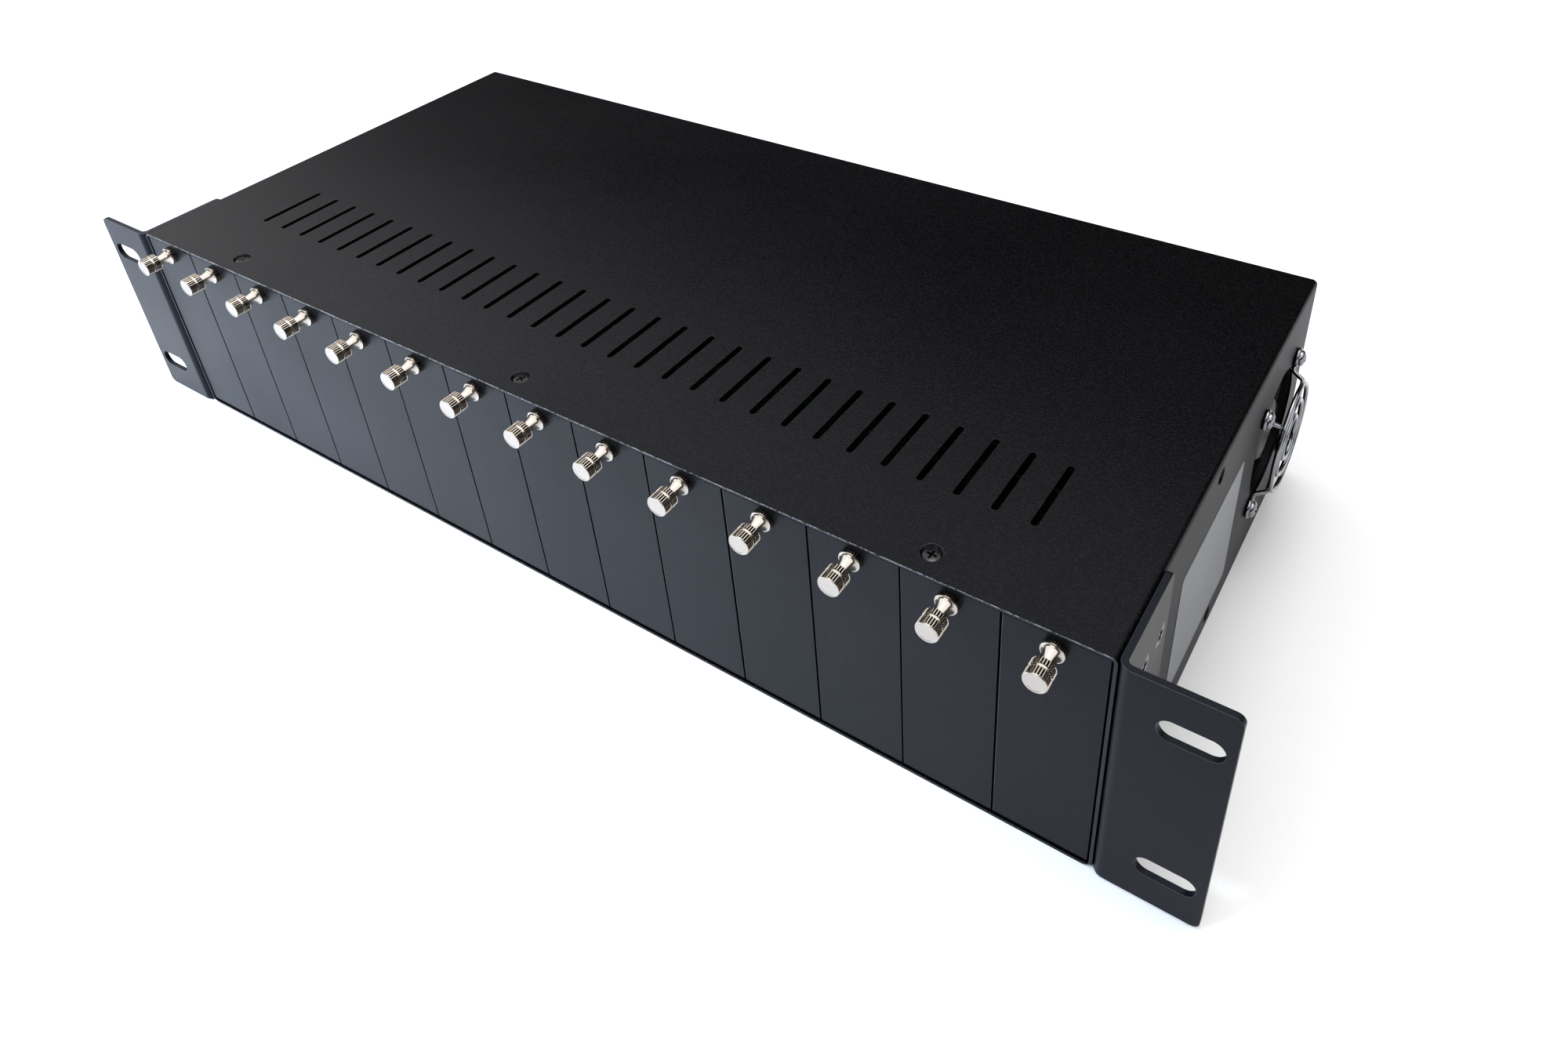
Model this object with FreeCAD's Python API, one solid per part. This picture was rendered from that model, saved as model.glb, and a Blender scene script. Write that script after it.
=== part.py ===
import FreeCAD
import Part
import math
import os

# A two-unit rack chassis for plug-in media converters, with a blank cover on each front slot.
# Millimetres, +Z up, +Y to the rear. The origin is the middle of the body's underside.

Vector = FreeCAD.Vector
AXIS_X = Vector(1, 0, 0)
AXIS_Y = Vector(0, 1, 0)
AXIS_Z = Vector(0, 0, 1)

# Body sheets
body_width = 421.0
body_height = 88.0
body_depth = 192.0
sheet = 1.0
bend_radius = 2.0
corner_round = 2.0
tray_flange = 12.0
tray_flange_setback = 4.0

# Vents in the cover
vent_count = 30
vent_side_margin = 36.5
vent_length = 27.4
vent_width = 2.4
vent_setback = 30.8
side_vent_count = 7
side_vent_pitch = 7.0

# Slot covers
slot_count = 14
cover_gap = 0.5
frame_gap = 0.5
cover_sheet = 1.2
cover_setback = 0.3
cover_fold = 1.0
tongue_depth = 40.0
tongue_gap = 0.4

# Thumbscrews
knob_radius = 3.5
knob_drop = 5.8
knob_base = 1.8
knob_waist_radius = 1.9
knob_neck = 4.5
knob_rear_band = 2.2
knob_groove = 0.7
knob_groove_depth = 0.3
knob_front_band = 3.0
knob_chamfer = 0.3
knob_seat_gap = 0.1
shank_radius = 1.5
shank_reach = 7.0
shank_fit = 0.06
shank_clearance = 0.35

# Front rail behind the slot covers
rail_sheet = 1.2
rail_gap = 0.2
rail_drop = 13.0
rail_flange = 15.0

# Countersunk screws and press nuts
small_screw_radius = 1.45
small_head_radius = 2.6
small_seat_radius = 3.3
ear_screw_radius = 1.9
ear_head_radius = 3.6
screw_clearance = 0.05
screw_reach = 4.6
nut_wall = 1.5
nut_length = 2.6
top_screw_inset = 55.5
top_screw_setback = 8.0
bulkhead_screw_drop = 7.0
tray_screw_setback = 99.5
tray_screw_rise = 6.0

# Rack ears
ear_flange = 30.8
ear_rise = 0.6
ear_drop = 0.4
ear_sheet = 2.0
ear_proud = 1.3
ear_bend = 3.5
ear_leg = 36.5
ear_corner = 2.5
ear_slot_inset = 11.0
ear_slot_spacing = 57.15
ear_slot_length = 17.0
ear_slot_width = 7.4
ear_screw_setback = 17.5
ear_screw_step = 12.0
ear_screw_spacing = 48.0

# Card guides on the floor
guide_width = 3.0
guide_height = 6.0
guide_setback = 6.0
guide_length = 62.0
guide_nose = 6.0

# Bulkhead and backplane
bulkhead_setback = 77.0
bulkhead_sheet = 1.2
bulkhead_flange = 10.0
bulkhead_port_width = 14.0
bulkhead_port_height = 6.0
bulkhead_port_drop = 11.0
board_side_gap = 7.5
board_height = 46.0
board_rise = 18.0
board_thickness = 1.6
standoff_radius = 2.5
standoff_length = 5.4
standoff_columns = 5
standoff_inset = 5.0
board_head_radius = 2.6
board_head_height = 1.8
socket_width = 9.0
socket_height = 11.0
socket_depth = 13.0
socket_bore_radius = 3.1
socket_bore_depth = 10.0
socket_pin_radius = 1.0

# Fan on the right side
fan_size = 50.0
fan_depth = 15.0
fan_wall = 1.5
fan_setback = 157.0
fan_hole_inset = 5.0
fan_corner = 4.0
fan_screw_radius = 1.6
fan_head_radius = 3.0
fan_head_height = 1.8
fan_screw_reach = 12.0
motor_radius = 11.0
motor_plate = 2.4
spoke_count = 4
spoke_width = 3.0
spoke_turn = 45.0
bearing_radius = 3.4
fan_shaft_radius = 1.5
fan_shaft_fit = 0.06
rotor_radius = 11.5
rotor_gap = 0.8
rotor_wall = 1.2
blade_count = 7
blade_tip_gap = 1.0
blade_thickness = 1.2
blade_pitch = 38.0
blade_sweep = 14.0
blade_taper = 0.12

# Wire guard over the fan
wire_radius = 0.8
guard_ring_count = 3
guard_ring_step = 6.0
guard_inner_ring = 8.0
guard_rise = 4.0
guard_bend = 1.4
guard_weld = 1.2
guard_eye_radius = 3.0

# Power supply, inlet, switch and earth stud
supply_width = 120.0
supply_depth = 72.0
supply_height = 40.0
supply_from_left = 24.0
supply_gap = 1.8
supply_round = 1.5
supply_wall = 1.2
supply_sill = 10.0
supply_post_radius = 2.5
supply_post_height = 5.0
transformer_width = 30.0
transformer_depth = 34.0
transformer_height = 24.0
capacitor_radius = 8.0
capacitor_height = 26.0
capacitor_gap = 3.0
terminal_width = 10.0
terminal_base = 5.0
terminal_height = 12.0
terminal_count = 6
terminal_wall = 1.4
inlet_from_left = 60.0
inlet_rise = 54.0
inlet_width = 27.6
inlet_height = 20.2
inlet_depth = 20.0
inlet_wall = 1.6
inlet_flange_width = 48.0
inlet_flange_height = 24.0
inlet_flange = 2.6
inlet_corner = 2.0
inlet_slant = 5.0
inlet_screw_spread = 40.0
inlet_recess = 16.5
pin_width = 2.0
pin_height = 4.0
pin_length = 13.0
pin_spread = 7.0
pin_lift = 3.4
opening_gap = 0.3
switch_gap = 14.0
switch_width = 13.2
switch_height = 19.2
switch_depth = 14.0
switch_bezel = 1.4
switch_bezel_depth = 1.6
switch_wall = 1.4
rocker_gap = 0.4
rocker_tilt = 8.0
rocker_crown = 2.6
rocker_side_taper = 1.6
rocker_back_taper = 0.8
rocker_pin_radius = 1.2
rocker_pin_fit = 0.06
stud_gap = 22.0
stud_radius = 2.0
stud_reach = 11.0
stud_nut_radius = 4.0
stud_nut_height = 3.2

# Places worked out from the sizes above
overshoot = 1.0
tolerance = 0.001
half_width = body_width / 2
front = -body_depth / 2
rear = body_depth / 2
inner_half = half_width - sheet
ceiling = body_height - sheet
vent_pitch = (body_width - 2 * vent_side_margin) / (vent_count - 1)
top_screw_spread = half_width - top_screw_inset
slot_pitch = (2 * inner_half - 2 * frame_gap + cover_gap) / slot_count
plate_width = slot_pitch - cover_gap
plate_low = sheet + frame_gap
plate_high = ceiling - frame_gap
plate_front = front + cover_setback
plate_back = plate_front + cover_sheet
rail_front = plate_back + rail_gap
rail_back = rail_front + rail_sheet
knob_z = body_height - knob_drop
ear_overall = body_width + 2 * ear_flange
ear_slot_spread = ear_overall - 2 * ear_slot_inset
ear_height = body_height - ear_rise - ear_drop
ear_middle = ear_rise + ear_height / 2
ear_face = front - ear_proud
bulkhead_front = front + bulkhead_setback
bulkhead_back = bulkhead_front + bulkhead_sheet
bulkhead_port_rise = ceiling - bulkhead_port_drop
board_width = 2 * (inner_half - board_side_gap)
board_back = bulkhead_front - standoff_length
board_front = board_back - board_thickness
fan_y = front + fan_setback
fan_z = body_height / 2
fan_bore_radius = fan_size / 2 - fan_wall
fan_hole_offset = fan_size / 2 - fan_hole_inset
inlet_x = -half_width + inlet_from_left
switch_x = inlet_x + inlet_flange_width / 2 + switch_gap
stud_x = switch_x + stud_gap


def block(x0, x1, y0, y1, z0, z1):
    """A box between two values on each axis."""
    return Part.makeBox(x1 - x0, y1 - y0, z1 - z0, Vector(x0, y0, z0))


def rod(base, axis, radius, length):
    """A round bar from base along axis."""
    return Part.makeCylinder(radius, length, base, axis)


def ring(base, axis, radius, bore, length):
    """A round sleeve from base along axis."""
    return rod(base, axis, radius, length).cut(rod(base, axis, bore, length))


def obround(centre, along, through, length, width, depth):
    """A round-ended bar centred on centre, long one way and run through another, to cut slots with."""
    side = along.cross(through)
    straight = along * ((length - width) / 2)
    across = side * (width / 2)
    start = centre - through * (depth / 2)
    right = start + straight
    left = start - straight
    edges = [
        Part.LineSegment(left - across, right - across).toShape(),
        Part.Arc(right - across, right + along * (width / 2), right + across).toShape(),
        Part.LineSegment(right + across, left + across).toShape(),
        Part.Arc(left + across, left - along * (width / 2), left - across).toShape(),
    ]
    return Part.Face(Part.Wire(edges)).extrude(through * depth)


def prism(points, run):
    """A flat outline of straight sides, extruded along run."""
    return Part.Face(Part.makePolygon(points + points[:1])).extrude(run)


def rounded(shape, radius, test):
    """The shape with its edges rounded wherever test is true of an edge's middle."""
    return shape.makeFillet(radius, [edge for edge in shape.Edges if test(edge.CenterOfMass)])


def near(a, b):
    return abs(a - b) < tolerance


def spread(count, pitch):
    """Places at one pitch, centred on zero."""
    return [(index - (count - 1) / 2) * pitch for index in range(count)]


def countersunk(tip, axis, head_radius, radius, reach):
    """A countersunk screw: tip is the middle of its flat head, and axis points into the work."""
    cone_depth = head_radius - radius
    cone = Part.makeCone(head_radius, radius, cone_depth, tip, axis)
    return cone.fuse(rod(tip + axis * cone_depth, axis, radius, reach - cone_depth)).removeSplitter()


def countersink(face, axis, seat_radius, radius, depth):
    """The cut for a countersunk screw, from the face inwards, with a hole for its shank."""
    cone_depth = seat_radius - radius
    cone = Part.makeCone(seat_radius, radius, cone_depth, face, axis)
    return cone.fuse(rod(face, axis, radius, depth))


slot_places = spread(slot_count, slot_pitch)
top_screw_places = [Vector(x, front + top_screw_setback, body_height) for x in spread(3, top_screw_spread)]
small_hole_radius = small_screw_radius + screw_clearance
ear_hole_radius = ear_screw_radius + screw_clearance
small_head_sink = small_seat_radius - small_head_radius - screw_clearance
fan_hole_places = [(y, z) for y in spread(2, 2 * fan_hole_offset) for z in spread(2, 2 * fan_hole_offset)]


def ear_screw_places(side):
    """The screws of one ear, on the outer face of its leg."""
    return [
        Vector(side * (half_width + ear_sheet), front + ear_screw_setback + step, ear_middle + rise)
        for step in (0, ear_screw_step)
        for rise in spread(2, ear_screw_spacing)
    ]


def side_screw_places(side):
    """The screws through one side of the cover: one into the bulkhead and one into the base tray."""
    bulkhead_y = bulkhead_back + bulkhead_flange / 2
    return [
        Vector(side * half_width, bulkhead_y, body_height - bulkhead_screw_drop),
        Vector(side * half_width, front + tray_screw_setback, tray_screw_rise),
    ]


def top_cover():
    """Folded sheet: the top and both sides, with vents, the fan opening and countersunk seats."""
    outer = block(-half_width, half_width, front, rear, 0, body_height)
    outer = rounded(outer, bend_radius, lambda p: near(p.z, body_height) and near(abs(p.x), half_width))
    inner = block(-inner_half, inner_half, front - overshoot, rear + overshoot, -overshoot, ceiling)
    inner = rounded(inner, bend_radius - sheet, lambda p: near(p.z, ceiling) and near(abs(p.x), inner_half))
    shell = outer.cut(inner)
    shell = rounded(shell, corner_round, lambda p: near(p.z, 0) and near(abs(p.y), rear))
    cuts = []
    vent_y = front + vent_setback + vent_length / 2
    for x in spread(vent_count, vent_pitch):
        top_middle = Vector(x, vent_y, body_height)
        cuts.append(obround(top_middle, AXIS_Y, AXIS_Z, vent_length, vent_width, 4 * sheet))
    for y in spread(side_vent_count, side_vent_pitch):
        left_middle = Vector(-half_width, fan_y + y, fan_z)
        cuts.append(obround(left_middle, AXIS_Z, AXIS_X, vent_length, vent_width, 4 * sheet))
    cuts.append(rod(Vector(inner_half - sheet, fan_y, fan_z), AXIS_X, fan_bore_radius, 3 * sheet))
    for y, z in fan_hole_places:
        hole = Vector(inner_half - sheet, fan_y + y, fan_z + z)
        cuts.append(rod(hole, AXIS_X, fan_screw_radius + screw_clearance, 3 * sheet))
    for place in top_screw_places:
        cuts.append(countersink(place, -AXIS_Z, small_seat_radius, small_hole_radius, 4 * sheet))
    for side in (-1, 1):
        for place in ear_screw_places(side):
            cuts.append(rod(place, AXIS_X * -side, ear_hole_radius, ear_sheet + 2 * sheet))
        for place in side_screw_places(side):
            cuts.append(countersink(place, AXIS_X * -side, small_seat_radius, small_hole_radius, 2 * sheet))
    return shell.cut(cuts)


def rear_window(x, z, width, height):
    """A cut through the rear wall."""
    return block(x - width / 2, x + width / 2, rear - 2 * sheet, rear + sheet, z - height / 2, z + height / 2)


def base_tray():
    """Folded sheet: the floor, a low flange along each side and the rear wall."""
    outer = block(-inner_half, inner_half, front, rear, 0, tray_flange)
    outer = rounded(outer, bend_radius, lambda p: near(p.z, 0) and near(abs(p.x), inner_half))
    hollow_half = inner_half - sheet
    hollow = block(-hollow_half, hollow_half, front - overshoot, rear + overshoot,
                   sheet, tray_flange + overshoot)
    notch = block(-half_width, half_width, front - overshoot, front + tray_flange_setback, sheet, body_height)
    wall = block(-inner_half, inner_half, rear - sheet, rear, bend_radius, ceiling)
    wall = rounded(wall, bend_radius - sheet, lambda p: near(p.z, ceiling) and near(abs(p.x), inner_half))
    tray = outer.cut([hollow, notch]).fuse(wall).removeSplitter()
    cuts = [
        rear_window(inlet_x, inlet_rise, inlet_width + 2 * opening_gap, inlet_height + 2 * opening_gap),
        rear_window(switch_x, inlet_rise, switch_width + 2 * opening_gap, switch_height + 2 * opening_gap),
        rod(Vector(stud_x, rear - 2 * sheet, inlet_rise), AXIS_Y, stud_radius + screw_clearance, 3 * sheet),
    ]
    for x in spread(2, inlet_screw_spread):
        hole = Vector(inlet_x + x, rear - 2 * sheet, inlet_rise)
        cuts.append(rod(hole, AXIS_Y, small_hole_radius, 3 * sheet))
    for side in (-1, 1):
        place = side_screw_places(side)[1]
        cuts.append(countersink(place, AXIS_X * -side, small_seat_radius, small_hole_radius, 4 * sheet))
    return tray.cut(cuts)


def front_rail():
    """Angle behind the slot covers' tops: the thumbscrews go through its web, the cover is screwed to it."""
    web = block(-inner_half, inner_half, rail_front, rail_back, ceiling - rail_drop, ceiling)
    flange = block(-inner_half, inner_half, rail_front, rail_front + rail_flange,
                   ceiling - rail_sheet, ceiling)
    rail = web.fuse(flange).removeSplitter()
    rail = rounded(rail, bend_radius - sheet, lambda p: near(p.z, ceiling) and near(abs(p.x), inner_half))
    cuts = []
    for x in slot_places:
        hole = Vector(x, rail_front - overshoot, knob_z)
        cuts.append(rod(hole, AXIS_Y, shank_radius + shank_clearance, rail_sheet + 2 * overshoot))
    for place in top_screw_places:
        cuts.append(countersink(place, -AXIS_Z, small_seat_radius, small_hole_radius, 4 * sheet))
    return rail.cut(cuts)


def press_nuts():
    """Round nuts pressed into the sheets: for the thumbscrews, the cover's screws and the ears' screws."""
    nuts = []
    thumb_bore = shank_radius + shank_clearance
    for x in slot_places:
        nuts.append(ring(Vector(x, rail_back, knob_z), AXIS_Y, thumb_bore + nut_wall, thumb_bore, nut_length))
    small_nut = small_hole_radius + nut_wall
    for place in top_screw_places:
        seat = Vector(place.x, place.y, ceiling - rail_sheet)
        nuts.append(ring(seat, -AXIS_Z, small_nut, small_hole_radius, nut_length))
    for side in (-1, 1):
        inwards = AXIS_X * -side
        for place in ear_screw_places(side):
            seat = Vector(side * inner_half, place.y, place.z)
            nuts.append(ring(seat, inwards, ear_hole_radius + nut_wall, ear_hole_radius, nut_length))
        bulkhead_place, tray_place = side_screw_places(side)
        seat = Vector(side * (inner_half - bulkhead_sheet), bulkhead_place.y, bulkhead_place.z)
        nuts.append(ring(seat, inwards, small_nut, small_hole_radius, nut_length))
        seat = Vector(side * (inner_half - sheet), tray_place.y, tray_place.z)
        nuts.append(ring(seat, inwards, small_nut, small_hole_radius, nut_length))
    return Part.makeCompound(nuts)


def top_screws():
    """Countersunk screws that hold the cover's front edge to the rail."""
    sink = Vector(0, 0, -small_head_sink)
    return Part.makeCompound([
        countersunk(place + sink, -AXIS_Z, small_head_radius, small_screw_radius, screw_reach)
        for place in top_screw_places
    ])


def side_screws():
    """Countersunk screws through the cover's sides."""
    screws = []
    for side in (-1, 1):
        inwards = AXIS_X * -side
        for place in side_screw_places(side):
            tip = place + inwards * small_head_sink
            screws.append(countersunk(tip, inwards, small_head_radius, small_screw_radius, screw_reach))
    return Part.makeCompound(screws)


def rack_ear(side):
    """Folded bracket: a leg along the body's side and a flange with two long slots for the rack's bolts."""
    leg_in = half_width
    leg_out = half_width + ear_sheet
    end = ear_overall / 2
    flange_back = ear_face + ear_sheet
    leg_rear = ear_face + ear_leg
    centre = Vector(leg_in + ear_bend, ear_face + ear_bend, ear_rise)
    slant = Vector(-1, -1, 0).normalize()
    corners = [
        Vector(leg_in, centre.y, ear_rise),
        Vector(centre.x, ear_face, ear_rise),
        Vector(end, ear_face, ear_rise),
        Vector(end, flange_back, ear_rise),
        Vector(centre.x, flange_back, ear_rise),
        Vector(leg_out, centre.y, ear_rise),
        Vector(leg_out, leg_rear, ear_rise),
        Vector(leg_in, leg_rear, ear_rise),
    ]
    outer_fold = Part.Arc(corners[0], centre + slant * ear_bend, corners[1]).toShape()
    inner_fold = Part.Arc(corners[4], centre + slant * (ear_bend - ear_sheet), corners[5]).toShape()
    edges = [outer_fold]
    edges += [Part.LineSegment(corners[i], corners[i + 1]).toShape() for i in (1, 2, 3)]
    edges.append(inner_fold)
    edges += [Part.LineSegment(corners[i], corners[(i + 1) % 8]).toShape() for i in (5, 6, 7)]
    ear = Part.Face(Part.Wire(edges)).extrude(AXIS_Z * ear_height)
    ear = rounded(ear, ear_corner, lambda p: near(p.x, end) and not near(p.z, ear_middle))
    ear = rounded(ear, ear_corner, lambda p: near(p.y, leg_rear) and not near(p.z, ear_middle))
    cuts = []
    for rise in spread(2, ear_slot_spacing):
        middle = Vector(ear_slot_spread / 2, ear_face + ear_sheet / 2, ear_middle + rise)
        cuts.append(obround(middle, AXIS_X, AXIS_Y, ear_slot_length, ear_slot_width, 2 * ear_sheet))
    for place in ear_screw_places(1):
        seat_radius = ear_head_radius + screw_clearance
        cuts.append(countersink(place, -AXIS_X, seat_radius, ear_hole_radius, 2 * ear_sheet))
    ear = ear.cut(cuts)
    return ear if side > 0 else ear.mirror(Vector(0, 0, 0), AXIS_X)


def ear_screws():
    """Countersunk screws through the ears' legs into press nuts in the cover's sides."""
    reach = ear_sheet + sheet + nut_length
    screws = []
    for side in (-1, 1):
        for place in ear_screw_places(side):
            screws.append(countersunk(place, AXIS_X * -side, ear_head_radius, ear_screw_radius, reach))
    return Part.makeCompound(screws)


def slot_cover(x):
    """Blank cover for one slot: a plate with a thumbscrew hole and a tongue folded back at its foot."""
    plate = block(-plate_width / 2, plate_width / 2, plate_front, plate_back, plate_low, plate_high)
    tongue_half = (slot_pitch - guide_width) / 2 - tongue_gap
    tongue_top = plate_low + cover_sheet
    tongue = block(-tongue_half, tongue_half, plate_front, plate_front + tongue_depth, plate_low, tongue_top)
    hole_start = Vector(0, plate_front - overshoot, knob_z)
    hole = rod(hole_start, AXIS_Y, shank_radius + shank_fit, cover_sheet + 2 * overshoot)
    cover = plate.fuse(tongue).removeSplitter().cut(hole)
    cover = rounded(cover, cover_fold, lambda p: near(p.z, plate_low) and near(p.y, plate_front))
    cover.translate(Vector(x, 0, 0))
    return cover


def thumbscrew(x):
    """Turned screw: a shank, a collar that seats on the cover, a flared waist and a head with two bands."""
    base_front = -knob_seat_gap - knob_base
    neck_front = base_front - knob_neck
    groove_rear = neck_front - knob_rear_band
    groove_front = groove_rear - knob_groove
    face = groove_front - knob_front_band
    groove_radius = knob_radius - knob_groove_depth
    rim = knob_radius - knob_chamfer
    flare_end = neck_front + knob_chamfer
    flare_middle = Vector((rim + knob_waist_radius) / 2 - knob_chamfer, (base_front + flare_end) / 2, 0)
    outline = [
        (0, shank_reach), (shank_radius - knob_chamfer, shank_reach),
        (shank_radius, shank_reach - knob_chamfer), (shank_radius, -knob_seat_gap),
        (knob_radius, -knob_seat_gap), (knob_radius, base_front + knob_groove_depth),
        (rim, base_front), (knob_waist_radius, flare_end), (knob_waist_radius, neck_front),
        (rim, neck_front), (knob_radius, neck_front - knob_groove_depth), (knob_radius, groove_rear),
        (groove_radius, groove_rear), (groove_radius, groove_front), (knob_radius, groove_front),
        (knob_radius, face + knob_chamfer), (rim, face), (0, face),
    ]
    points = [Vector(radius, y, 0) for radius, y in outline]
    edges = []
    for start, end in zip(points, points[1:] + points[:1]):
        if near(start.y, base_front) and near(start.x, rim):
            edges.append(Part.Arc(start, flare_middle, end).toShape())
        else:
            edges.append(Part.LineSegment(start, end).toShape())
    screw = Part.Face(Part.Wire(edges)).revolve(Vector(0, 0, 0), AXIS_Y, 360)
    screw.translate(Vector(x, plate_front, knob_z))
    return screw


def card_guides():
    """Bars on the floor between the slots, with narrowed noses that lead a card in."""
    guides = []
    start = front + guide_setback
    end = start + guide_length
    for x in spread(slot_count - 1, slot_pitch):
        outline = [
            Vector(x - guide_width / 4, start, sheet),
            Vector(x + guide_width / 4, start, sheet),
            Vector(x + guide_width / 2, start + guide_nose, sheet),
            Vector(x + guide_width / 2, end, sheet),
            Vector(x - guide_width / 2, end, sheet),
            Vector(x - guide_width / 2, start + guide_nose, sheet),
        ]
        guides.append(prism(outline, AXIS_Z * guide_height))
    return Part.makeCompound(guides)


def bulkhead():
    """Sheet wall across the body with a flange at each side, and ports that let the fan draw air."""
    flange_low = tray_flange + sheet
    wall = block(-inner_half, inner_half, bulkhead_front, bulkhead_back, sheet, ceiling)
    flange_back = bulkhead_back + bulkhead_flange
    parts = [
        block(-inner_half, -inner_half + bulkhead_sheet, bulkhead_front, flange_back, flange_low, ceiling),
        block(inner_half - bulkhead_sheet, inner_half, bulkhead_front, flange_back, flange_low, ceiling),
    ]
    wall = wall.fuse(parts).removeSplitter()
    wall = rounded(wall, bend_radius - sheet, lambda p: near(p.z, ceiling) and near(abs(p.x), inner_half))
    cuts = []
    notch_half = inner_half - sheet - screw_clearance
    for side in (-1, 1):
        edges = sorted((side * notch_half, side * half_width))
        cuts.append(block(edges[0], edges[1], front, rear, 0, flange_low))
        place = side_screw_places(side)[0]
        cuts.append(countersink(place, AXIS_X * -side, small_seat_radius, small_hole_radius, 4 * sheet))
    for x in slot_places:
        middle = Vector(x, bulkhead_front, bulkhead_port_rise)
        cuts.append(obround(middle, AXIS_X, AXIS_Y, bulkhead_port_width, bulkhead_port_height,
                            4 * bulkhead_sheet))
    return wall.cut(cuts)


def standoff_places():
    """Where the backplane is carried, on the bulkhead's front face."""
    step = (board_width - 2 * standoff_inset) / (standoff_columns - 1)
    middle = board_rise + board_height / 2
    rows = spread(2, board_height - 2 * standoff_inset)
    return [Vector(x, bulkhead_front, middle + rise) for x in spread(standoff_columns, step) for rise in rows]


def backplane_board():
    """Circuit board that feeds every slot."""
    board = block(-board_width / 2, board_width / 2, board_front, board_back,
                  board_rise, board_rise + board_height)
    through = board_thickness + 2 * overshoot
    holes = [
        rod(Vector(p.x, board_front - overshoot, p.z), AXIS_Y, small_hole_radius, through)
        for p in standoff_places()
    ]
    return board.cut(holes)


def backplane_standoffs():
    """Spacers between the bulkhead and the board."""
    return Part.makeCompound([
        ring(place, -AXIS_Y, standoff_radius, small_hole_radius, standoff_length)
        for place in standoff_places()
    ])


def backplane_screws():
    """Pan-head screws through the board into the spacers."""
    screws = []
    for place in standoff_places():
        seat = Vector(place.x, board_front, place.z)
        head = rod(seat, -AXIS_Y, board_head_radius, board_head_height)
        head = rounded(head, board_head_height / 2, lambda p: near(p.y, board_front - board_head_height))
        screws.append(head.fuse(rod(seat, AXIS_Y, small_screw_radius, board_thickness + standoff_length / 2)))
    return Part.makeCompound(screws)


def backplane_sockets():
    """Power sockets on the board, one for each slot, with a pin in each bore."""
    sockets = []
    middle = board_rise + board_height / 2
    mouth = board_front - socket_depth
    for x in slot_places:
        body = block(x - socket_width / 2, x + socket_width / 2, mouth, board_front,
                     middle - socket_height / 2, middle + socket_height / 2)
        bore = rod(Vector(x, mouth, middle), AXIS_Y, socket_bore_radius, socket_bore_depth)
        pin = rod(Vector(x, mouth + socket_pin_radius, middle), AXIS_Y, socket_pin_radius, socket_bore_depth)
        sockets.append(body.cut(bore).fuse(pin))
    return Part.makeCompound(sockets)


def fan_frame():
    """Moulded square frame with a round duct, a motor plate on spokes and a bearing tube."""
    inner_face = inner_half - fan_depth
    half = fan_size / 2
    frame = block(inner_face, inner_half, fan_y - half, fan_y + half, fan_z - half, fan_z + half)
    frame = rounded(frame, fan_corner,
                    lambda p: near(abs(p.y - fan_y), half) and near(abs(p.z - fan_z), half))
    cuts = [rod(Vector(inner_face, fan_y, fan_z), AXIS_X, fan_bore_radius, fan_depth)]
    for y, z in fan_hole_places:
        hole = Vector(inner_face, fan_y + y, fan_z + z)
        cuts.append(rod(hole, AXIS_X, fan_screw_radius + screw_clearance, fan_depth))
    frame = frame.cut(cuts)
    hub = Vector(inner_face, fan_y, fan_z)
    pieces = [rod(hub, AXIS_X, motor_radius, motor_plate)]
    for index in range(spoke_count):
        spoke = block(inner_face, inner_face + motor_plate, fan_y, fan_y + fan_bore_radius + fan_wall / 2,
                      fan_z - spoke_width / 2, fan_z + spoke_width / 2)
        spoke.rotate(hub, AXIS_X, spoke_turn + index * 360 / spoke_count)
        pieces.append(spoke)
    bearing_length = fan_depth - rotor_gap - rotor_wall - 2 * rotor_gap
    pieces.append(rod(hub, AXIS_X, bearing_radius, bearing_length))
    frame = frame.fuse(pieces).removeSplitter()
    return frame.cut(rod(hub + AXIS_X * motor_plate / 2, AXIS_X, fan_shaft_radius + fan_shaft_fit, fan_depth))


def fan_blade(cup_rear, cup_front):
    """One swept blade, lofted from a steep section at the hub to a flatter, turned one at the tip."""
    tip_radius = fan_bore_radius - blade_tip_gap
    root_radius = rotor_radius - rotor_wall / 2
    middle = (cup_rear + cup_front) / 2
    reach = cup_front - cup_rear - 2 * rotor_gap
    sections = []
    for share in (0, 0.5, 1):
        radius = root_radius + (tip_radius - root_radius) * share
        chord = reach / math.sin(math.radians(blade_pitch))
        along = Vector(math.sin(math.radians(blade_pitch)), math.cos(math.radians(blade_pitch)), 0)
        across = Vector(-along.y, along.x, 0)
        corners = []
        for end, thick in ((-1, -1), (1, -1), (1, 1), (-1, 1)):
            half_chord = chord / 2 * (1 - blade_taper * share)
            flat = along * (end * half_chord) + across * (thick * blade_thickness / 2)
            corners.append(Vector(middle + flat.x, flat.y, radius))
        section = Part.makePolygon(corners + corners[:1])
        section.rotate(Vector(0, 0, 0), AXIS_X, blade_sweep * share)
        sections.append(section)
    return Part.makeLoft(sections, True, False)


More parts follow.
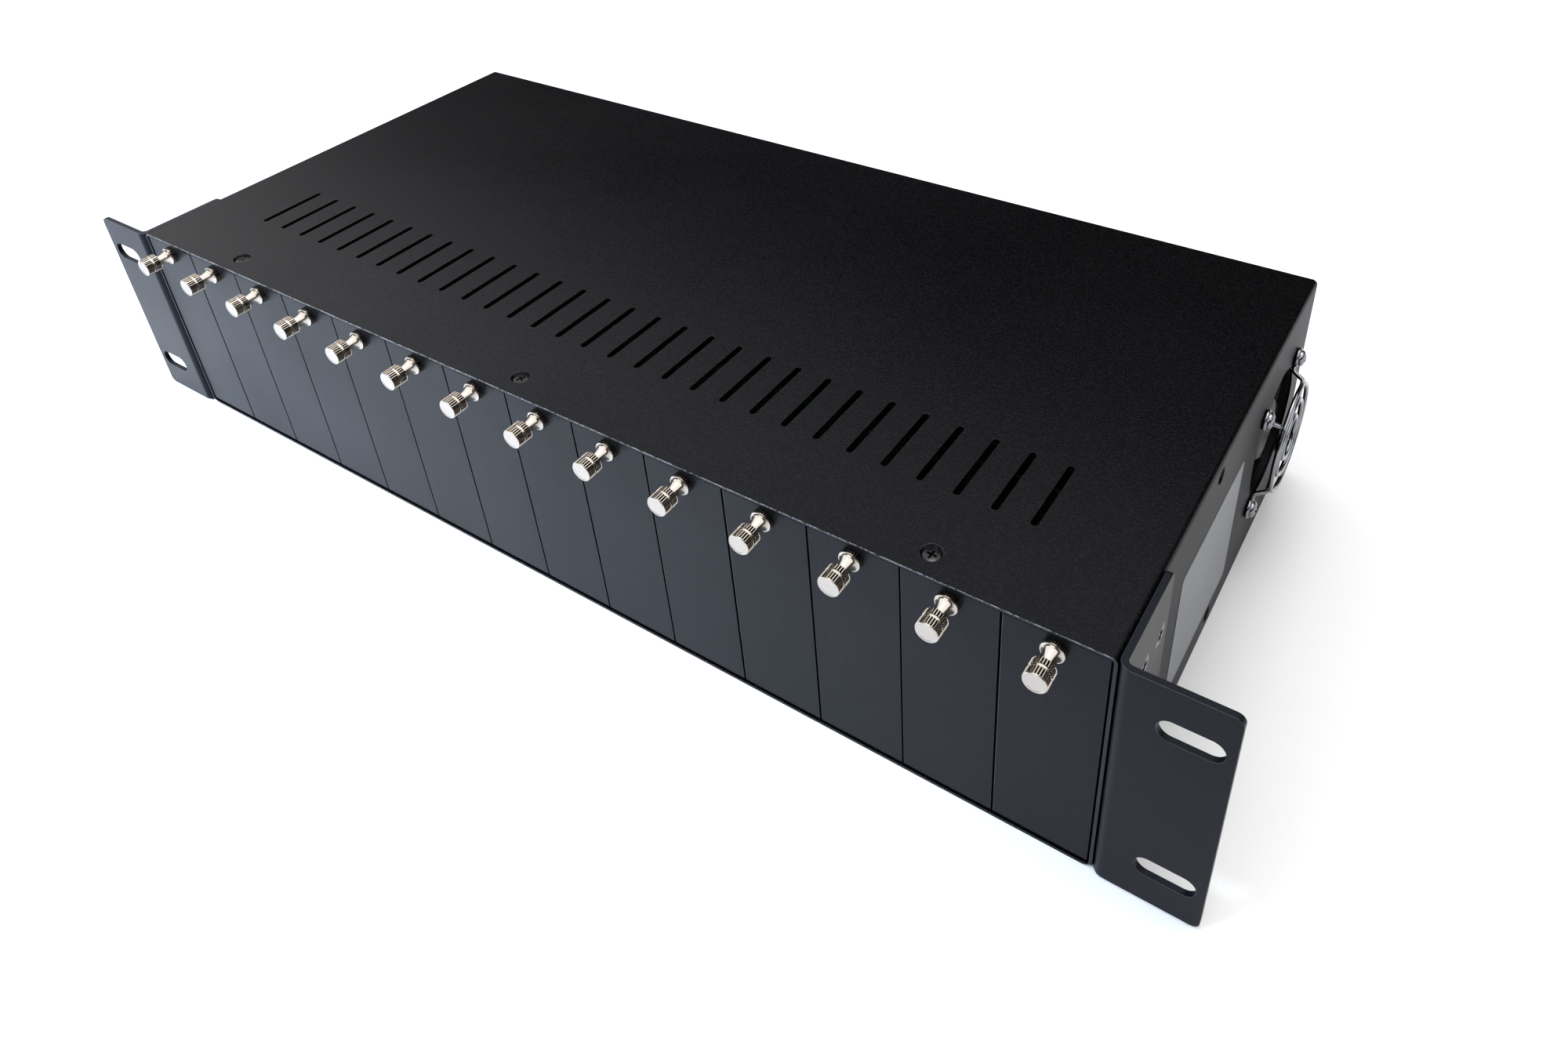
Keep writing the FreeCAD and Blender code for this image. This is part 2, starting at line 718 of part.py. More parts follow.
def fan_rotor():
    """Moulded cup with swept blades, on a steel shaft that runs in the frame's bearing."""
    cup_rear = inner_half - fan_depth + motor_plate + rotor_gap
    cup_front = inner_half - rotor_gap
    cup = rod(Vector(cup_rear, 0, 0), AXIS_X, rotor_radius, cup_front - cup_rear)
    cup = rounded(cup, rotor_wall, lambda p: near(p.x, cup_front))
    hollow = rod(Vector(cup_rear, 0, 0), AXIS_X, rotor_radius - rotor_wall, cup_front - cup_rear - rotor_wall)
    shaft = rod(Vector(cup_rear, 0, 0), AXIS_X, fan_shaft_radius, cup_front - cup_rear - rotor_wall / 2)
    tip = rod(Vector(cup_rear, 0, 0), AXIS_X, fan_bore_radius - blade_tip_gap, cup_front - cup_rear)
    blades = []
    for index in range(blade_count):
        blade = fan_blade(cup_rear, cup_front)
        blade.rotate(Vector(0, 0, 0), AXIS_X, index * 360 / blade_count)
        blades.append(blade)
    rotor = cup.fuse(blades).common(tip).cut(hollow).fuse(shaft)
    rotor.translate(Vector(0, fan_y, fan_z))
    return rotor


def wire_run(points, bend):
    """A round wire along straight runs joined by tangent bends."""
    edges = []
    start = points[0]
    for before, corner, after in zip(points, points[1:], points[2:]):
        back = (before - corner).normalize()
        ahead = (after - corner).normalize()
        half_angle = back.getAngle(ahead) / 2
        arc_start = corner + back * (bend / math.tan(half_angle))
        arc_end = corner + ahead * (bend / math.tan(half_angle))
        middle = corner + (back + ahead).normalize() * (bend / math.sin(half_angle) - bend)
        edges.append(Part.LineSegment(start, arc_start).toShape())
        edges.append(Part.Arc(arc_start, middle, arc_end).toShape())
        start = arc_end
    edges.append(Part.LineSegment(start, points[-1]).toShape())
    section = Part.Wire(Part.makeCircle(wire_radius, points[0], points[1] - points[0]))
    return Part.Wire(edges).makePipeShell([section], True, True)


def fan_guard():
    """Wire guard: rings welded on four legs that step down to an eye round each screw."""
    seat = half_width + wire_radius
    crown = seat + guard_rise
    eye_middle = fan_hole_offset * math.sqrt(2)
    eye_edge = eye_middle - guard_eye_radius
    foot = eye_middle - fan_head_radius - 2 * wire_radius - guard_bend / 2
    outer_ring = guard_inner_ring + (guard_ring_count - 1) * guard_ring_step
    pieces = []
    for index in range(guard_ring_count):
        radius = guard_inner_ring + index * guard_ring_step
        pieces.append(Part.makeTorus(radius, wire_radius, Vector(crown + guard_weld, 0, 0), AXIS_X))
    for y in (-1, 1):
        for z in (-1, 1):
            corner = Vector(0, y, z).normalize()
            path = [
                AXIS_X * crown + corner * (guard_inner_ring - wire_radius),
                AXIS_X * crown + corner * (outer_ring + wire_radius),
                AXIS_X * seat + corner * foot,
                AXIS_X * seat + corner * eye_edge,
            ]
            pieces.append(wire_run(path, guard_bend))
            eye = AXIS_X * seat + corner * eye_middle
            pieces.append(Part.makeTorus(guard_eye_radius, wire_radius, eye, AXIS_X))
    guard = pieces[0].fuse(pieces[1:])
    guard.translate(Vector(0, fan_y, fan_z))
    return guard


def fan_screws():
    """Pan-head screws that clamp the guard, the cover and the fan frame together."""
    seat = half_width + 2 * wire_radius
    screws = []
    for y, z in fan_hole_places:
        base = Vector(seat, fan_y + y, fan_z + z)
        head = rod(base, AXIS_X, fan_head_radius, fan_head_height)
        head = rounded(head, fan_head_height / 2, lambda p: near(p.x, seat + fan_head_height))
        screws.append(head.fuse(rod(base, -AXIS_X, fan_screw_radius, fan_screw_reach)))
    return Part.makeCompound(screws)


def supply_box():
    """Corners of the power supply on the floor behind the bulkhead."""
    low = Vector(-half_width + supply_from_left, bulkhead_back + bulkhead_flange + supply_gap, sheet)
    return low, low + Vector(supply_width, supply_depth, supply_height)


def power_supply_case():
    """Folded case, open above its terminals at the right end, with posts that carry its board."""
    low, high = supply_box()
    case = block(low.x, high.x, low.y, high.y, low.z, high.z)
    case = rounded(case, supply_round, lambda p: near(p.z, high.z))
    hollow = block(low.x + supply_wall, high.x + overshoot, low.y + supply_wall, high.y - supply_wall,
                   low.z + supply_wall, high.z - supply_wall)
    ledge = block(high.x - terminal_width, high.x + overshoot, low.y - overshoot, high.y + overshoot,
                  low.z + supply_sill, high.z + overshoot)
    posts = [
        rod(place, AXIS_Z, supply_post_radius, supply_post_height + supply_wall) for place in supply_posts()
    ]
    return case.cut([hollow, ledge]).fuse(posts).removeSplitter()


def supply_posts():
    """Feet of the posts under the supply's board."""
    low, high = supply_box()
    inset = supply_wall + 2 * supply_post_radius
    columns = (low.x + inset, high.x - inset)
    rows = (low.y + inset, high.y - inset)
    return [Vector(x, y, low.z) for x in columns for y in rows]


def supply_board_level():
    """The supply's board rests on the posts at this height."""
    return sheet + supply_wall + supply_post_height


def power_supply_board():
    """Board with a wound transformer and two round capacitors."""
    low, high = supply_box()
    under = supply_board_level()
    top = under + board_thickness
    edge = supply_wall + frame_gap
    board = block(low.x + edge, high.x, low.y + edge, high.y - edge, under, top)
    middle = Vector((low.x + high.x) / 2, (low.y + high.y) / 2, top)
    core = block(middle.x - transformer_width / 2, middle.x + transformer_width / 2,
                 middle.y - transformer_depth / 2, middle.y + transformer_depth / 2,
                 top, top + transformer_height)
    cans = [
        rod(middle + Vector(-transformer_width, y, 0), AXIS_Z, capacitor_radius, capacitor_height)
        for y in spread(2, 2 * capacitor_radius + capacitor_gap)
    ]
    return Part.makeCompound([board, core] + cans)


def power_supply_terminals():
    """Terminal strip at the right end of the supply's board, with a wall between screws."""
    low, high = supply_box()
    floor = supply_board_level() + board_thickness
    left = high.x - terminal_width
    near_end = low.y + supply_wall + frame_gap
    far_end = high.y - supply_wall - frame_gap
    strip = block(left, high.x, near_end, far_end, floor, floor + terminal_base)
    walls = []
    step = (far_end - near_end - terminal_wall) / terminal_count
    for index in range(terminal_count + 1):
        y = near_end + index * step
        walls.append(block(left, high.x, y, y + terminal_wall, floor, floor + terminal_height))
    return strip.fuse(walls).removeSplitter()


def power_inlet():
    """Moulded mains inlet: a flange outside the rear wall, a body inside it and three flat pins."""
    flange_face = rear + inlet_flange
    flange = block(-inlet_flange_width / 2, inlet_flange_width / 2, rear, flange_face,
                   -inlet_flange_height / 2, inlet_flange_height / 2)
    flange = rounded(flange, inlet_corner, lambda p: near(abs(p.x), inlet_flange_width / 2)
                     and near(abs(p.z), inlet_flange_height / 2))
    body = block(-inlet_width / 2, inlet_width / 2, rear - inlet_depth, rear + inlet_flange / 2,
                 -inlet_height / 2, inlet_height / 2)
    hollow_half = inlet_width / 2 - inlet_wall
    hollow_high = inlet_height / 2 - inlet_wall
    outline = [
        Vector(-hollow_half, flange_face - inlet_recess, -hollow_high),
        Vector(hollow_half, flange_face - inlet_recess, -hollow_high),
        Vector(hollow_half, flange_face - inlet_recess, hollow_high - inlet_slant),
        Vector(hollow_half - inlet_slant, flange_face - inlet_recess, hollow_high),
        Vector(-hollow_half + inlet_slant, flange_face - inlet_recess, hollow_high),
        Vector(-hollow_half, flange_face - inlet_recess, hollow_high - inlet_slant),
    ]
    recess = prism(outline, AXIS_Y * (inlet_recess + overshoot))
    holes = [
        rod(Vector(x, rear - overshoot, 0), AXIS_Y, small_hole_radius, inlet_flange + 2 * overshoot)
        for x in spread(2, inlet_screw_spread)
    ]
    inlet = flange.fuse(body).removeSplitter().cut([recess] + holes)
    pins = []
    pin_foot = flange_face - inlet_recess - overshoot
    for x, lift in ((-pin_spread, 0), (0, pin_lift), (pin_spread, 0)):
        low = -hollow_high + inlet_wall + lift
        pins.append(block(x - pin_width / 2, x + pin_width / 2, pin_foot, pin_foot + pin_length,
                          low, low + pin_height))
    inlet = inlet.fuse(pins).removeSplitter()
    inlet.translate(Vector(inlet_x, 0, inlet_rise))
    return inlet


def inlet_screws():
    """Pan-head screws through the inlet's flange."""
    seat = rear + inlet_flange
    screws = []
    for x in spread(2, inlet_screw_spread):
        base = Vector(inlet_x + x, seat, inlet_rise)
        head = rod(base, AXIS_Y, board_head_radius, board_head_height)
        head = rounded(head, board_head_height / 2, lambda p: near(p.y, seat + board_head_height))
        screws.append(head.fuse(rod(base, -AXIS_Y, small_screw_radius, inlet_flange + sheet + nut_length)))
    return Part.makeCompound(screws)


rocker_half_width = switch_width / 2 - switch_wall - rocker_gap
rocker_half_height = switch_height / 2 - switch_wall - rocker_gap
rocker_pivot = Vector(switch_x, rear + switch_bezel_depth - rocker_half_height / 2, inlet_rise)


def power_switch_frame():
    """Moulded switch body with a bezel outside the rear wall and a pocket for the rocker."""
    half_x = switch_width / 2
    half_z = switch_height / 2
    face = rear + switch_bezel_depth
    bezel = block(-half_x - switch_bezel, half_x + switch_bezel, rear, face,
                  -half_z - switch_bezel, half_z + switch_bezel)
    bezel = rounded(bezel, switch_bezel_depth / 2, lambda p: near(p.y, face))
    body = block(-half_x, half_x, rear - switch_depth, rear + switch_bezel_depth / 2, -half_z, half_z)
    pocket_x = half_x - switch_wall
    pocket_z = half_z - switch_wall
    pocket = block(-pocket_x, pocket_x, rear - switch_depth + switch_wall, face + overshoot,
                   -pocket_z, pocket_z)
    frame = bezel.fuse(body).removeSplitter().cut(pocket)
    frame.translate(Vector(switch_x, 0, inlet_rise))
    bore = rod(rocker_pivot - AXIS_X * (half_x - switch_wall / 2), AXIS_X, rocker_pin_radius + rocker_pin_fit,
               switch_width - switch_wall)
    return frame.cut(bore)


def power_switch_rocker():
    """Rocker with two faces that meet in a shallow valley, a round back and pivot pins; at rest it is off."""
    high = rocker_half_height
    face = rocker_half_height / 2
    back = Vector(0, rocker_back_taper - high, 0)
    crown = face + rocker_crown
    corners = [Vector(0, crown, high), Vector(0, face, 0), Vector(0, crown, -high)]
    upper = Vector(0, 0, high - rocker_side_taper)
    lower = -upper
    edges = [
        Part.LineSegment(corners[0], corners[1]).toShape(),
        Part.LineSegment(corners[1], corners[2]).toShape(),
        Part.LineSegment(corners[2], lower).toShape(),
        Part.Arc(lower, back, upper).toShape(),
        Part.LineSegment(upper, corners[0]).toShape(),
    ]
    rocker = Part.Face(Part.Wire(edges)).extrude(AXIS_X * (2 * rocker_half_width))
    rocker.translate(AXIS_X * -rocker_half_width)
    pin_half = switch_width / 2 - switch_wall / 2 - rocker_gap / 2
    rocker = rocker.fuse(rod(AXIS_X * -pin_half, AXIS_X, rocker_pin_radius, 2 * pin_half)).removeSplitter()
    rocker.rotate(Vector(0, 0, 0), AXIS_X, -rocker_tilt)
    rocker.translate(rocker_pivot)
    return rocker


def earth_stud():
    """Threaded stud through the rear wall with a nut on each side."""
    start = Vector(stud_x, rear - sheet - stud_nut_height - overshoot, inlet_rise)
    stud = rod(start, AXIS_Y, stud_radius, stud_reach + sheet + stud_nut_height)
    pieces = [stud]
    for y in (rear - sheet - stud_nut_height, rear):
        corners = [
            Vector(stud_x + stud_nut_radius * math.cos(math.radians(60 * i)), y,
                   inlet_rise + stud_nut_radius * math.sin(math.radians(60 * i)))
            for i in range(6)
        ]
        nut = prism(corners, AXIS_Y * stud_nut_height)
        pieces.append(nut.cut(rod(start, AXIS_Y, stud_radius, stud_reach + 2 * stud_nut_height)))
    return Part.makeCompound(pieces)


def write(name, shape):
    shape.exportStep("parts/" + name + ".step")


os.makedirs("parts", exist_ok=True)
write("top_cover", top_cover())
write("base_tray", base_tray())
write("front_rail", front_rail())
write("press_nuts", press_nuts())
write("top_screws", top_screws())
write("side_screws", side_screws())
write("rack_ear_left", rack_ear(-1))
write("rack_ear_right", rack_ear(1))
write("ear_screws", ear_screws())
write("card_guides", card_guides())
write("bulkhead", bulkhead())
write("backplane_board", backplane_board())
write("backplane_standoffs", backplane_standoffs())
write("backplane_screws", backplane_screws())
write("backplane_sockets", backplane_sockets())
write("fan_frame", fan_frame())
write("fan_rotor", fan_rotor())
write("fan_guard", fan_guard())
write("fan_screws", fan_screws())
write("power_supply_case", power_supply_case())
write("power_supply_board", power_supply_board())
write("power_supply_terminals", power_supply_terminals())
write("power_inlet", power_inlet())
write("inlet_screws", inlet_screws())
write("power_switch_frame", power_switch_frame())
write("power_switch_rocker", power_switch_rocker())
write("earth_stud", earth_stud())
for number, place in enumerate(slot_places, 1):
    write("slot_cover_%02d" % number, slot_cover(place))
    write("thumbscrew_%02d" % number, thumbscrew(place))
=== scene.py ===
import bmesh
import bpy
import math
from mathutils import Euler, Matrix, Vector


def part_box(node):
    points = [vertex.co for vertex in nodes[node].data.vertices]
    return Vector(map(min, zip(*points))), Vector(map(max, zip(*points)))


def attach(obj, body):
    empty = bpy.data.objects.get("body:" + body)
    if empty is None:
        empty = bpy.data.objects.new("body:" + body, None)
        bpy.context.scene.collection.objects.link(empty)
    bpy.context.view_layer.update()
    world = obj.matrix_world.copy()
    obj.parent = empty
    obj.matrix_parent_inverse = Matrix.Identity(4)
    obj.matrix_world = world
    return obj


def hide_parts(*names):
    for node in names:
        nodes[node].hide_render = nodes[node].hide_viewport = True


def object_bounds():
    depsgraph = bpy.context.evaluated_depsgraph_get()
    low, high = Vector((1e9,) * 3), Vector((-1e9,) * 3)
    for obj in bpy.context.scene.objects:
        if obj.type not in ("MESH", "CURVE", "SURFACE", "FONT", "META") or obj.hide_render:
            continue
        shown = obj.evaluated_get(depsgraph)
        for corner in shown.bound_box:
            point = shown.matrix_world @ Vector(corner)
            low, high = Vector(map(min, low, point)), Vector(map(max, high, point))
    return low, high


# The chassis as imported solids, in metres: X runs to the right across the front, Y to the rear, Z up.
# Its box is kept here, before any piece is added.
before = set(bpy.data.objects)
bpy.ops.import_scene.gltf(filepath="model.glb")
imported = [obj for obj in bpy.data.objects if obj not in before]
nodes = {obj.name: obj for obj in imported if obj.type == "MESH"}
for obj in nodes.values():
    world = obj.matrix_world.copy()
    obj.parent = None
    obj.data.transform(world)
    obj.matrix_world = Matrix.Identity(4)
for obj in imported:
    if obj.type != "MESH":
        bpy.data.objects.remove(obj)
cad_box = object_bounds()
millimetre = 0.001


# Base tray: the floor, its low side flanges and the rear wall, folded from one steel sheet.
# It is baked in the same fine black powder coat as the cover, and its cut edges are eased, with a painted
# highlight: the eased strips are a lighter colour than the coat.
def add_node(tree, kind, inputs=(), **settings):
    """One node of a tree, with its settings, and its inputs as values or as links from other sockets."""
    node = tree.nodes.new(kind)
    for key, value in settings.items():
        setattr(node, key, value)
    for key, value in dict(inputs).items():
        if isinstance(value, bpy.types.NodeSocket):
            tree.links.new(value, node.inputs[key])
        else:
            node.inputs[key].default_value = value
    return node


def worked(tree, operation, *values):
    """The result of one sum on numbers, each a value or a link."""
    return add_node(tree, "ShaderNodeMath", dict(enumerate(values)), operation=operation).outputs[0]


def ranged(tree, value, low=0.0, high=1.0, to_low=0.0, to_high=1.0):
    """A value carried from one range to another, and held at the ends."""
    limits = {"From Min": low, "From Max": high, "To Min": to_low, "To Max": to_high}
    return add_node(tree, "ShaderNodeMapRange", {"Value": value, **limits}).outputs[0]


def two_tone(tree, share, first, second):
    """A colour between two, each a colour or a link; share is how much of the second one shows.
    The colours have sockets 6 and 7 of the node, after those for numbers and vectors."""
    return add_node(tree, "ShaderNodeMix", {0: share, 6: first, 7: second}, data_type="RGBA").outputs[2]


def new_group(name, kind, inputs, outputs):
    """An empty node group with named inputs, each with its kind and first value, and named outputs."""
    group = bpy.data.node_groups.new(name, kind)
    for label, (socket_kind, value) in inputs.items():
        socket = group.interface.new_socket(label, in_out="INPUT", socket_type=socket_kind)
        if value is not None:
            socket.default_value = value
    for label, socket_kind in outputs.items():
        group.interface.new_socket(label, in_out="OUTPUT", socket_type=socket_kind)
    start = group.nodes.new("NodeGroupInput")
    end = group.nodes.new("NodeGroupOutput")
    return group, start, end


def new_finish(name, **sockets):
    """A material with one Principled shader, whose even values are set on its own sockets."""
    material = bpy.data.materials.new(name)
    material.use_nodes = True
    shader = material.node_tree.nodes["Principled BSDF"]
    for label, value in sockets.items():
        shader.inputs[label.replace("_", " ")].default_value = value
    return material, material.node_tree, shader


def grain_group():
    """Orange peel of a baked or moulded skin: a height, a fine tone and a slow haze, all from 0 to 1."""
    group, start, end = new_group(
        "skin_grain", "ShaderNodeTree",
        {"Grain size": ("NodeSocketFloat", 0.001), "Haze size": ("NodeSocketFloat", 0.08)},
        {"Height": "NodeSocketFloat", "Tone": "NodeSocketFloat", "Haze": "NodeSocketFloat"})
    place = add_node(group, "ShaderNodeTexCoord").outputs["Object"]
    fine = worked(group, "DIVIDE", 1.0, start.outputs["Grain size"])
    slow = worked(group, "DIVIDE", 1.0, start.outputs["Haze size"])
    peel = add_node(group, "ShaderNodeTexNoise",
                    {"Vector": place, "Scale": fine, "Detail": 3.0, "Roughness": 0.6}).outputs[0]
    haze = add_node(group, "ShaderNodeTexNoise", {"Vector": place, "Scale": slow, "Detail": 4.0}).outputs[0]
    group.links.new(peel, end.inputs["Height"])
    group.links.new(ranged(group, peel, low=0.48, high=0.66), end.inputs["Tone"])
    group.links.new(ranged(group, haze, low=0.3, high=0.7), end.inputs["Haze"])
    return group


skin_grain = grain_group()


def skin(name, dark, light, smooth, rough, grain, relief, **sockets):
    """A coated or moulded skin: fine grain in its colour and relief, slow haze in its roughness."""
    material, tree, shader = new_finish(name, **sockets)
    texture = add_node(tree, "ShaderNodeGroup", {"Grain size": grain}, node_tree=skin_grain)
    colour = two_tone(tree, texture.outputs["Tone"], (*dark, 1), (*light, 1))
    gloss = ranged(tree, texture.outputs["Haze"], to_low=smooth, to_high=rough)
    bump = add_node(tree, "ShaderNodeBump", {"Height": texture.outputs["Height"], "Distance": relief})
    tree.links.new(colour, shader.inputs["Base Color"])
    tree.links.new(gloss, shader.inputs["Roughness"])
    tree.links.new(bump.outputs[0], shader.inputs["Normal"])
    return material


def plain_mesh(piece):
    """Turns a piece with modifiers into a plain mesh, as it is seen."""
    seen = piece.evaluated_get(bpy.context.evaluated_depsgraph_get())
    mesh = bpy.data.meshes.new_from_object(seen)
    piece.modifiers.clear()
    piece.data = mesh
    return piece


def eased(node, name, body, ease, face, edge):
    """A copy of a solid with its sharp edges rounded off, the rounded strips in a finish of their own."""
    weld = 0.002 * millimetre
    flat_turn = math.radians(0.5)
    sharp_turn = math.radians(40)
    shaded_turn = math.radians(32)
    shape = bmesh.new()
    shape.from_mesh(nodes[node].data)
    bmesh.ops.remove_doubles(shape, verts=shape.verts, dist=weld)
    bmesh.ops.dissolve_limit(shape, angle_limit=flat_turn, verts=shape.verts, edges=shape.edges)
    mesh = bpy.data.meshes.new(name)
    shape.to_mesh(mesh)
    shape.free()
    mesh.materials.append(face)
    mesh.materials.append(edge)
    mesh.polygons.foreach_set("material_index", [0] * len(mesh.polygons))
    piece = bpy.data.objects.new(name, mesh)
    bpy.context.collection.objects.link(piece)
    bevel = piece.modifiers.new("ease", "BEVEL")
    bevel.width = ease
    bevel.segments = 2
    bevel.limit_method = "ANGLE"
    bevel.angle_limit = sharp_turn
    bevel.material = 1
    flat = piece.modifiers.new("flat", "WEIGHTED_NORMAL")
    flat.weight = 100
    flat.keep_sharp = True
    mesh.shade_smooth()
    mesh.set_sharp_from_angle(angle=shaded_turn)
    plain_mesh(piece)
    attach(piece, body)
    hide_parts(node)
    return piece


coat_dark = (0.0003, 0.0003, 0.0004)
coat_light = (0.0038, 0.0038, 0.0041)
coat_grain = 0.6 * millimetre
coat_relief = 0.06 * millimetre
cover_coat = skin("cover_coat", coat_dark, coat_light, smooth=0.2, rough=0.26, grain=coat_grain,
                  relief=coat_relief, Specular_IOR_Level=0.1, Specular_Tint=(0.85, 0.87, 1.0, 1))
# The eased edge strips of the cover and tray are a lighter colour than the coat: a painted highlight along
# every edge.
cover_edge = skin("cover_edge", (0.008, 0.008, 0.009), (0.05, 0.05, 0.053), smooth=0.26, rough=0.36,
                  grain=coat_grain, relief=0.02 * millimetre)
sheet_ease = 0.2 * millimetre
tray = eased("base_tray", "tray_sheet", "chassis", sheet_ease, cover_coat, cover_edge)


# Bulkhead, press nuts and the backplane's spacers and screws: dark zinc-plated steel.
# They sit inside the case, and the bulkhead shows when a slot cover is drawn out.
def brushed_group():
    """Fine lines along X, as rolling and brushing leave them in a sheet, from 0 to 1."""
    group, start, end = new_group(
        "brushed_lines", "ShaderNodeTree",
        {"Stretch": ("NodeSocketVector", (30, 700, 700))}, {"Lines": "NodeSocketFloat"})
    place = add_node(group, "ShaderNodeTexCoord").outputs["Object"]
    stretch = add_node(group, "ShaderNodeMapping", {"Vector": place, "Scale": start.outputs["Stretch"]})
    noise = add_node(group, "ShaderNodeTexNoise",
                     {"Vector": stretch.outputs[0], "Scale": 1.0, "Detail": 3.0})
    group.links.new(noise.outputs[0], end.inputs["Lines"])
    return group


def cloud_group():
    """The uneven bloom of a plated surface, from 0 to 1."""
    group, start, end = new_group(
        "plating_cloud", "ShaderNodeTree",
        {"Scale": ("NodeSocketFloat", 900.0), "Detail": ("NodeSocketFloat", 2.0)},
        {"Cloud": "NodeSocketFloat"})
    place = add_node(group, "ShaderNodeTexCoord").outputs["Object"]
    noise = add_node(group, "ShaderNodeTexNoise",
                     {"Vector": place, "Scale": start.outputs["Scale"], "Detail": start.outputs["Detail"]})
    group.links.new(noise.outputs[0], end.inputs["Cloud"])
    return group


brushed_lines = brushed_group()
plating_cloud = cloud_group()


def zinc_plate():
    """Dull zinc on rolled sheet: a slow cloud in its colour, fine lines in its roughness."""
    material, tree, shader = new_finish("zinc_plate", Metallic=1.0)
    lines = add_node(tree, "ShaderNodeGroup", {"Stretch": (40, 900, 900)}, node_tree=brushed_lines)
    cloud = add_node(tree, "ShaderNodeGroup", {"Scale": 60.0, "Detail": 2.0}, node_tree=plating_cloud)
    colour = two_tone(tree, cloud.outputs["Cloud"], (0.12, 0.12, 0.125, 1), (0.2, 0.2, 0.2, 1))
    gloss = ranged(tree, lines.outputs["Lines"], to_low=0.25, to_high=0.5)
    tree.links.new(colour, shader.inputs["Base Color"])
    tree.links.new(gloss, shader.inputs["Roughness"])
    return material


def dress(names, material):
    """Gives solids that are shown as they are one finish."""
    for name in names:
        nodes[name].data.materials.clear()
        nodes[name].data.materials.append(material)


dress(["bulkhead", "press_nuts", "backplane_standoffs", "backplane_screws"], zinc_plate())


# Backplane and the supply's board: circuit laminate with faint tracks under a very dark green solder mask.
# A black power socket for each slot stands on the backplane, with a bright pin in its bore.
def solder_mask():
    """Tracks run along the borders of cells and stand a little proud under a glossy mask."""
    track_scale = 140.0
    track_edge = 0.05
    track_end = 0.09
    material, tree, shader = new_finish("solder_mask", Roughness=0.38, Coat_Weight=0.35,
                                        Coat_Roughness=0.2)
    place = add_node(tree, "ShaderNodeTexCoord").outputs["Object"]
    cells = add_node(tree, "ShaderNodeTexVoronoi", {"Vector": place, "Scale": track_scale},
                     feature="DISTANCE_TO_EDGE")
    track = ranged(tree, cells.outputs["Distance"], track_edge, track_end, to_low=1.0, to_high=0.0)
    colour = two_tone(tree, track, (0.001, 0.004, 0.002, 1), (0.003, 0.012, 0.006, 1))
    bump = add_node(tree, "ShaderNodeBump", {"Height": track, "Distance": 0.03 * millimetre})
    tree.links.new(colour, shader.inputs["Base Color"])
    tree.links.new(bump.outputs[0], shader.inputs["Normal"])
    return material


def middle(node):
    """The middle of a solid's box."""
    low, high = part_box(node)
    return (Vector(low) + Vector(high)) / 2


def socket_finish(first_x, step, rise):
    """Black moulding, with the pin of each bore picked out in metal by its distance from the bore's axis."""
    pin_radius = 1.3 * millimetre
    material = skin("socket_black", (0.008, 0.008, 0.009), (0.016, 0.016, 0.017), smooth=0.4, rough=0.5,
                    grain=0.4 * millimetre, relief=0.01 * millimetre)
    tree = material.node_tree
    shader = tree.nodes["Principled BSDF"]
    place = add_node(tree, "ShaderNodeTexCoord").outputs["Object"]
    axes = add_node(tree, "ShaderNodeSeparateXYZ", {0: place})
    from_first = worked(tree, "SUBTRACT", axes.outputs["X"], first_x)
    across = worked(tree, "WRAP", from_first, -step / 2, step / 2)
    above = worked(tree, "SUBTRACT", axes.outputs["Z"], rise)
    off_axis = add_node(tree, "ShaderNodeCombineXYZ", {0: across, 1: above})
    radius = add_node(tree, "ShaderNodeVectorMath", {0: off_axis.outputs[0]}, operation="LENGTH")
    pin = worked(tree, "LESS_THAN", radius.outputs["Value"], pin_radius)
    plastic = shader.inputs["Base Color"].links[0].from_socket
    colour = two_tone(tree, pin, plastic, (0.72, 0.55, 0.3, 1))
    tree.links.new(colour, shader.inputs["Base Color"])
    tree.links.new(pin, shader.inputs["Metallic"])
    return material


first_slot = middle("thumbscrew_01").x
slot_step = middle("thumbscrew_02").x - first_slot
dress(["backplane_board", "power_supply_board"], solder_mask())
dress(["backplane_sockets"], socket_finish(first_slot, slot_step, middle("backplane_sockets").z))


# Card guides and the supply's terminal strip: black mouldings with a dull, slightly grained skin.
# The guides stand on the floor between the slots, and the strip stands on the supply's board.
guide_plastic = skin("guide_plastic", (0.012, 0.012, 0.013), (0.024, 0.024, 0.026), smooth=0.5, rough=0.62,
                     grain=0.5 * millimetre, relief=0.02 * millimetre)
dress(["card_guides", "power_supply_terminals"], guide_plastic)


# Power supply: a folded case of plain aluminium sheet, which stands on the floor behind the bulkhead.
# It is the same soft brushed grey all over.
def plain_sheet():
    """Bare sheet with fine lines in its roughness."""
    material, tree, shader = new_finish("plain_sheet", Metallic=1.0, Base_Color=(0.7, 0.71, 0.72, 1))
    lines = add_node(tree, "ShaderNodeGroup", {"Stretch": (30, 700, 700)}, node_tree=brushed_lines)
    gloss = ranged(tree, lines.outputs["Lines"], to_low=0.3, to_high=0.5)
    tree.links.new(gloss, shader.inputs["Roughness"])
    return material


dress(["power_supply_case"], plain_sheet())
